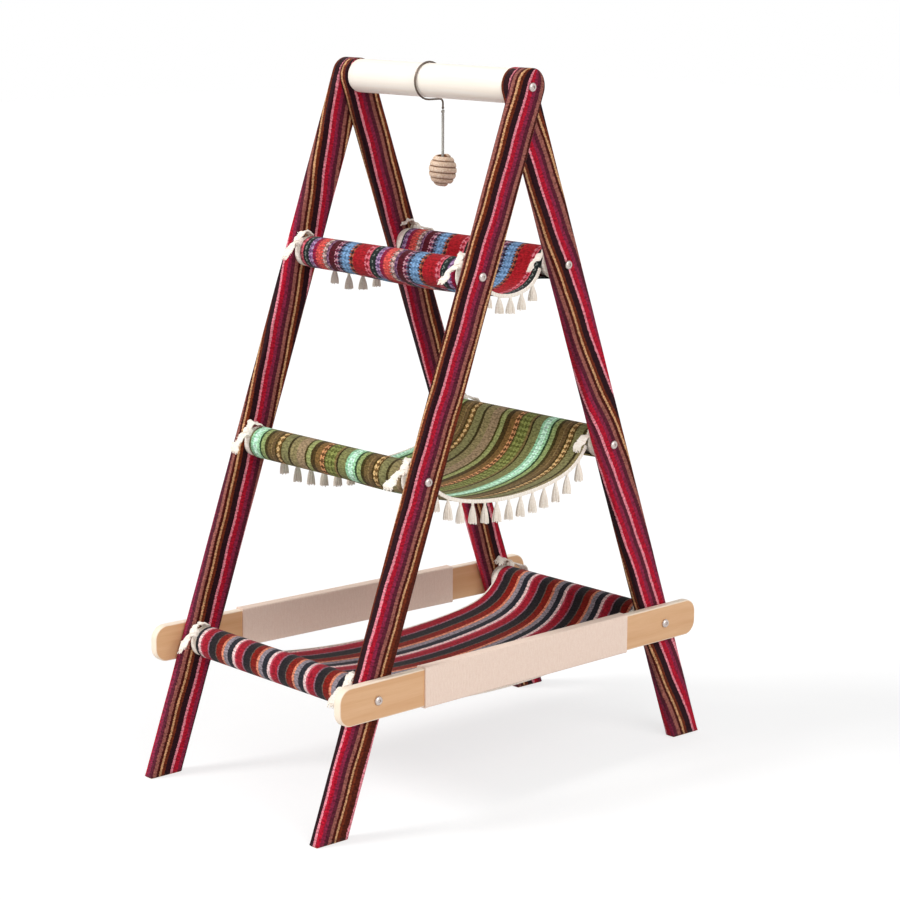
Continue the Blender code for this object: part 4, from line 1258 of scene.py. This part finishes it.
class CATTREE_OT_hammocks(bpy.types.Operator):
    """Makes the three striped hammocks, each with a pocket round both of its dowels"""
    bl_idname = "cattree.hammocks"
    bl_label = "Hammocks"

    CLOTHS = {"upper": ("patterned striped cotton", UPPER_BANDS),
              "middle": ("mottled striped cotton", MIDDLE_BANDS),
              "lower": ("plain striped cotton", LOWER_BANDS)}
    ACROSS_COUNT = 61
    BED_COUNT = 110
    TURN_COUNT = 44
    # Creases: their height and spacings, and where they start and die out
    CREASE_HEIGHT = 0.0005
    CREASE_SPACING = (0.047, 0.029)
    CREASE_START, CREASE_END = 0.006, 0.030

    def execute(self, context):
        for level in LEVELS:
            cloth = woven_stripes(*self.CLOTHS[level])
            points, uv, flat, area = self.cloth(level)
            hammock = make_piece(f"cloth_{level}", [block(points, uv)], cloth, "frame",
                                 f"hammock_{level}", f"hammock_{level}")
            wall(hammock, sizes().cloth_thickness, 0)
            on_it = [f"trim_{level}_{side}" for side in SIDES]
            on_it += [f"tie_{level}_{end}_{side}" for end in ENDS for side in SIDES]
        return {"FINISHED"}

    def cloth(self, level):
        """The cloth's middle surface, lofted across X.

        Each section runs from the front hem up to the seam, round the front dowel
        on an arc that starts on a tangent from the seam, down over the bed, and
        the same way back at the rear. U is X and V the length run along it.
        """
        across = np.linspace(-1, 1, self.ACROSS_COUNT)[:, None]
        height = LEVELS[level][0]
        reach = leg_y(height)
        end_y = bed_end(level)
        under = sizes().cloth_thickness + GAP
        step = 1e-4
        hem_y = end_y - SEAM_RUN - HEM_REACH * np.linspace(1, 0, 5)
        hem_z = bed_height(level, hem_y, across)
        slope = np.arctan2(bed_height(level, hem_y + step, across) - hem_z, step)
        hem = stack(hem_y + under * np.sin(slope), hem_z - under * np.cos(slope))
        seam = hem[:, -1:]
        away_y, away_z = seam[..., 0] - reach, seam[..., 1] - height
        tangent = (np.arctan2(away_z, away_y) % (2 * np.pi)
                   + np.arccos(POCKET_RADIUS / np.hypot(away_y, away_z)))
        share = np.linspace(0, 1, self.TURN_COUNT + 1)
        turn = tangent + (3 * np.pi - LEAVE_ANGLE - tangent) * share
        pocket = stack(reach + POCKET_RADIUS * np.cos(turn), height + POCKET_RADIUS * np.sin(turn))
        between = np.linspace(0, 1, 8)[1:-1, None]
        rear = np.concatenate([hem, seam + (pocket[:, :1] - seam) * between, pocket], axis=1)
        bed_y = -end_y * np.cos(np.pi * np.arange(1, self.BED_COUNT) / self.BED_COUNT)
        # Shallow creases fan out from the dowels and die out in the bowl
        x = across * half_width(level, bed_y)
        inset = end_y - np.abs(bed_y)
        near = (np.exp(-(inset / self.CREASE_END) ** 2)
                * (1 - np.exp(-(inset / self.CREASE_START) ** 2)))
        wide, narrow = (2 * np.pi * x / spacing for spacing in self.CREASE_SPACING)
        crease = near * (np.sin(wide + 1.0) + 0.7 * np.sin(narrow)) * (1 - across ** 8)
        bed_z = bed_height(level, bed_y, across) + self.CREASE_HEIGHT * crease
        section = np.concatenate([rear * (-1, 1), stack(bed_y, bed_z), rear[:, ::-1]], axis=1)
        y, z = section[..., 0], section[..., 1]
        x = across * half_width(level, y)
        points = stack(x, y, z)
        steps = np.linalg.norm(np.diff(points, axis=1), axis=-1)
        run = np.concatenate([np.zeros_like(across), np.cumsum(steps, axis=1)], axis=1)
        centre = run[:, run.shape[1] // 2][:, None]
        uv = stack(x - PATTERN_START[level], run - centre)
        middle = self.ACROSS_COUNT // 2
        length = float(run[middle, -1])
        width = float(2 * half_width(level, -end_y))
        mean = float(np.mean(2 * half_width(level, y[middle])))
        return points, uv, (width, length), length * mean


OPERATORS = [
    CATTREE_OT_stage, CATTREE_OT_twine, CATTREE_OT_ball, CATTREE_OT_hook, CATTREE_OT_bars,
    CATTREE_OT_covers, CATTREE_OT_boards, CATTREE_OT_wraps, CATTREE_OT_bolts,
    CATTREE_OT_fringes, CATTREE_OT_ribbons, CATTREE_OT_hammocks,
]


class CATTREE_PT_finishes(bpy.types.Panel):
    """Lists the steps and the values of the cat tree's finishes"""
    bl_idname = "CATTREE_PT_finishes"
    bl_label = "Cat Tree"
    bl_space_type = "VIEW_3D"
    bl_region_type = "UI"
    bl_category = "Cat Tree"

    def draw(self, context):
        layout = self.layout
        for operator in OPERATORS:
            layout.operator(operator.bl_idname)
        for group in (context.scene.cat_tree_sizes, context.scene.cat_tree_colours):
            column = layout.column()
            for name in group.__annotations__:
                column.prop(group, name)


CLASSES = [CatTreeSizes, CatTreeColours, *OPERATORS, CATTREE_PT_finishes]


def register():
    for item in CLASSES:
        bpy.utils.register_class(item)
    bpy.types.Scene.cat_tree_sizes = bpy.props.PointerProperty(type=CatTreeSizes)
    bpy.types.Scene.cat_tree_colours = bpy.props.PointerProperty(type=CatTreeColours)


def unregister():
    del bpy.types.Scene.cat_tree_colours
    del bpy.types.Scene.cat_tree_sizes
    for item in reversed(CLASSES):
        bpy.utils.unregister_class(item)


def main():
    register()
    bpy.ops.cattree.stage()
    bpy.ops.cattree.twine()
    bpy.ops.cattree.ball()
    bpy.ops.cattree.hook()
    bpy.ops.cattree.bars()
    bpy.ops.cattree.covers()
    bpy.ops.cattree.boards()
    bpy.ops.cattree.wraps()
    bpy.ops.cattree.bolts()
    bpy.ops.cattree.fringes()
    bpy.ops.cattree.ribbons()
    bpy.ops.cattree.hammocks()


if __name__ == "__main__":
    main()
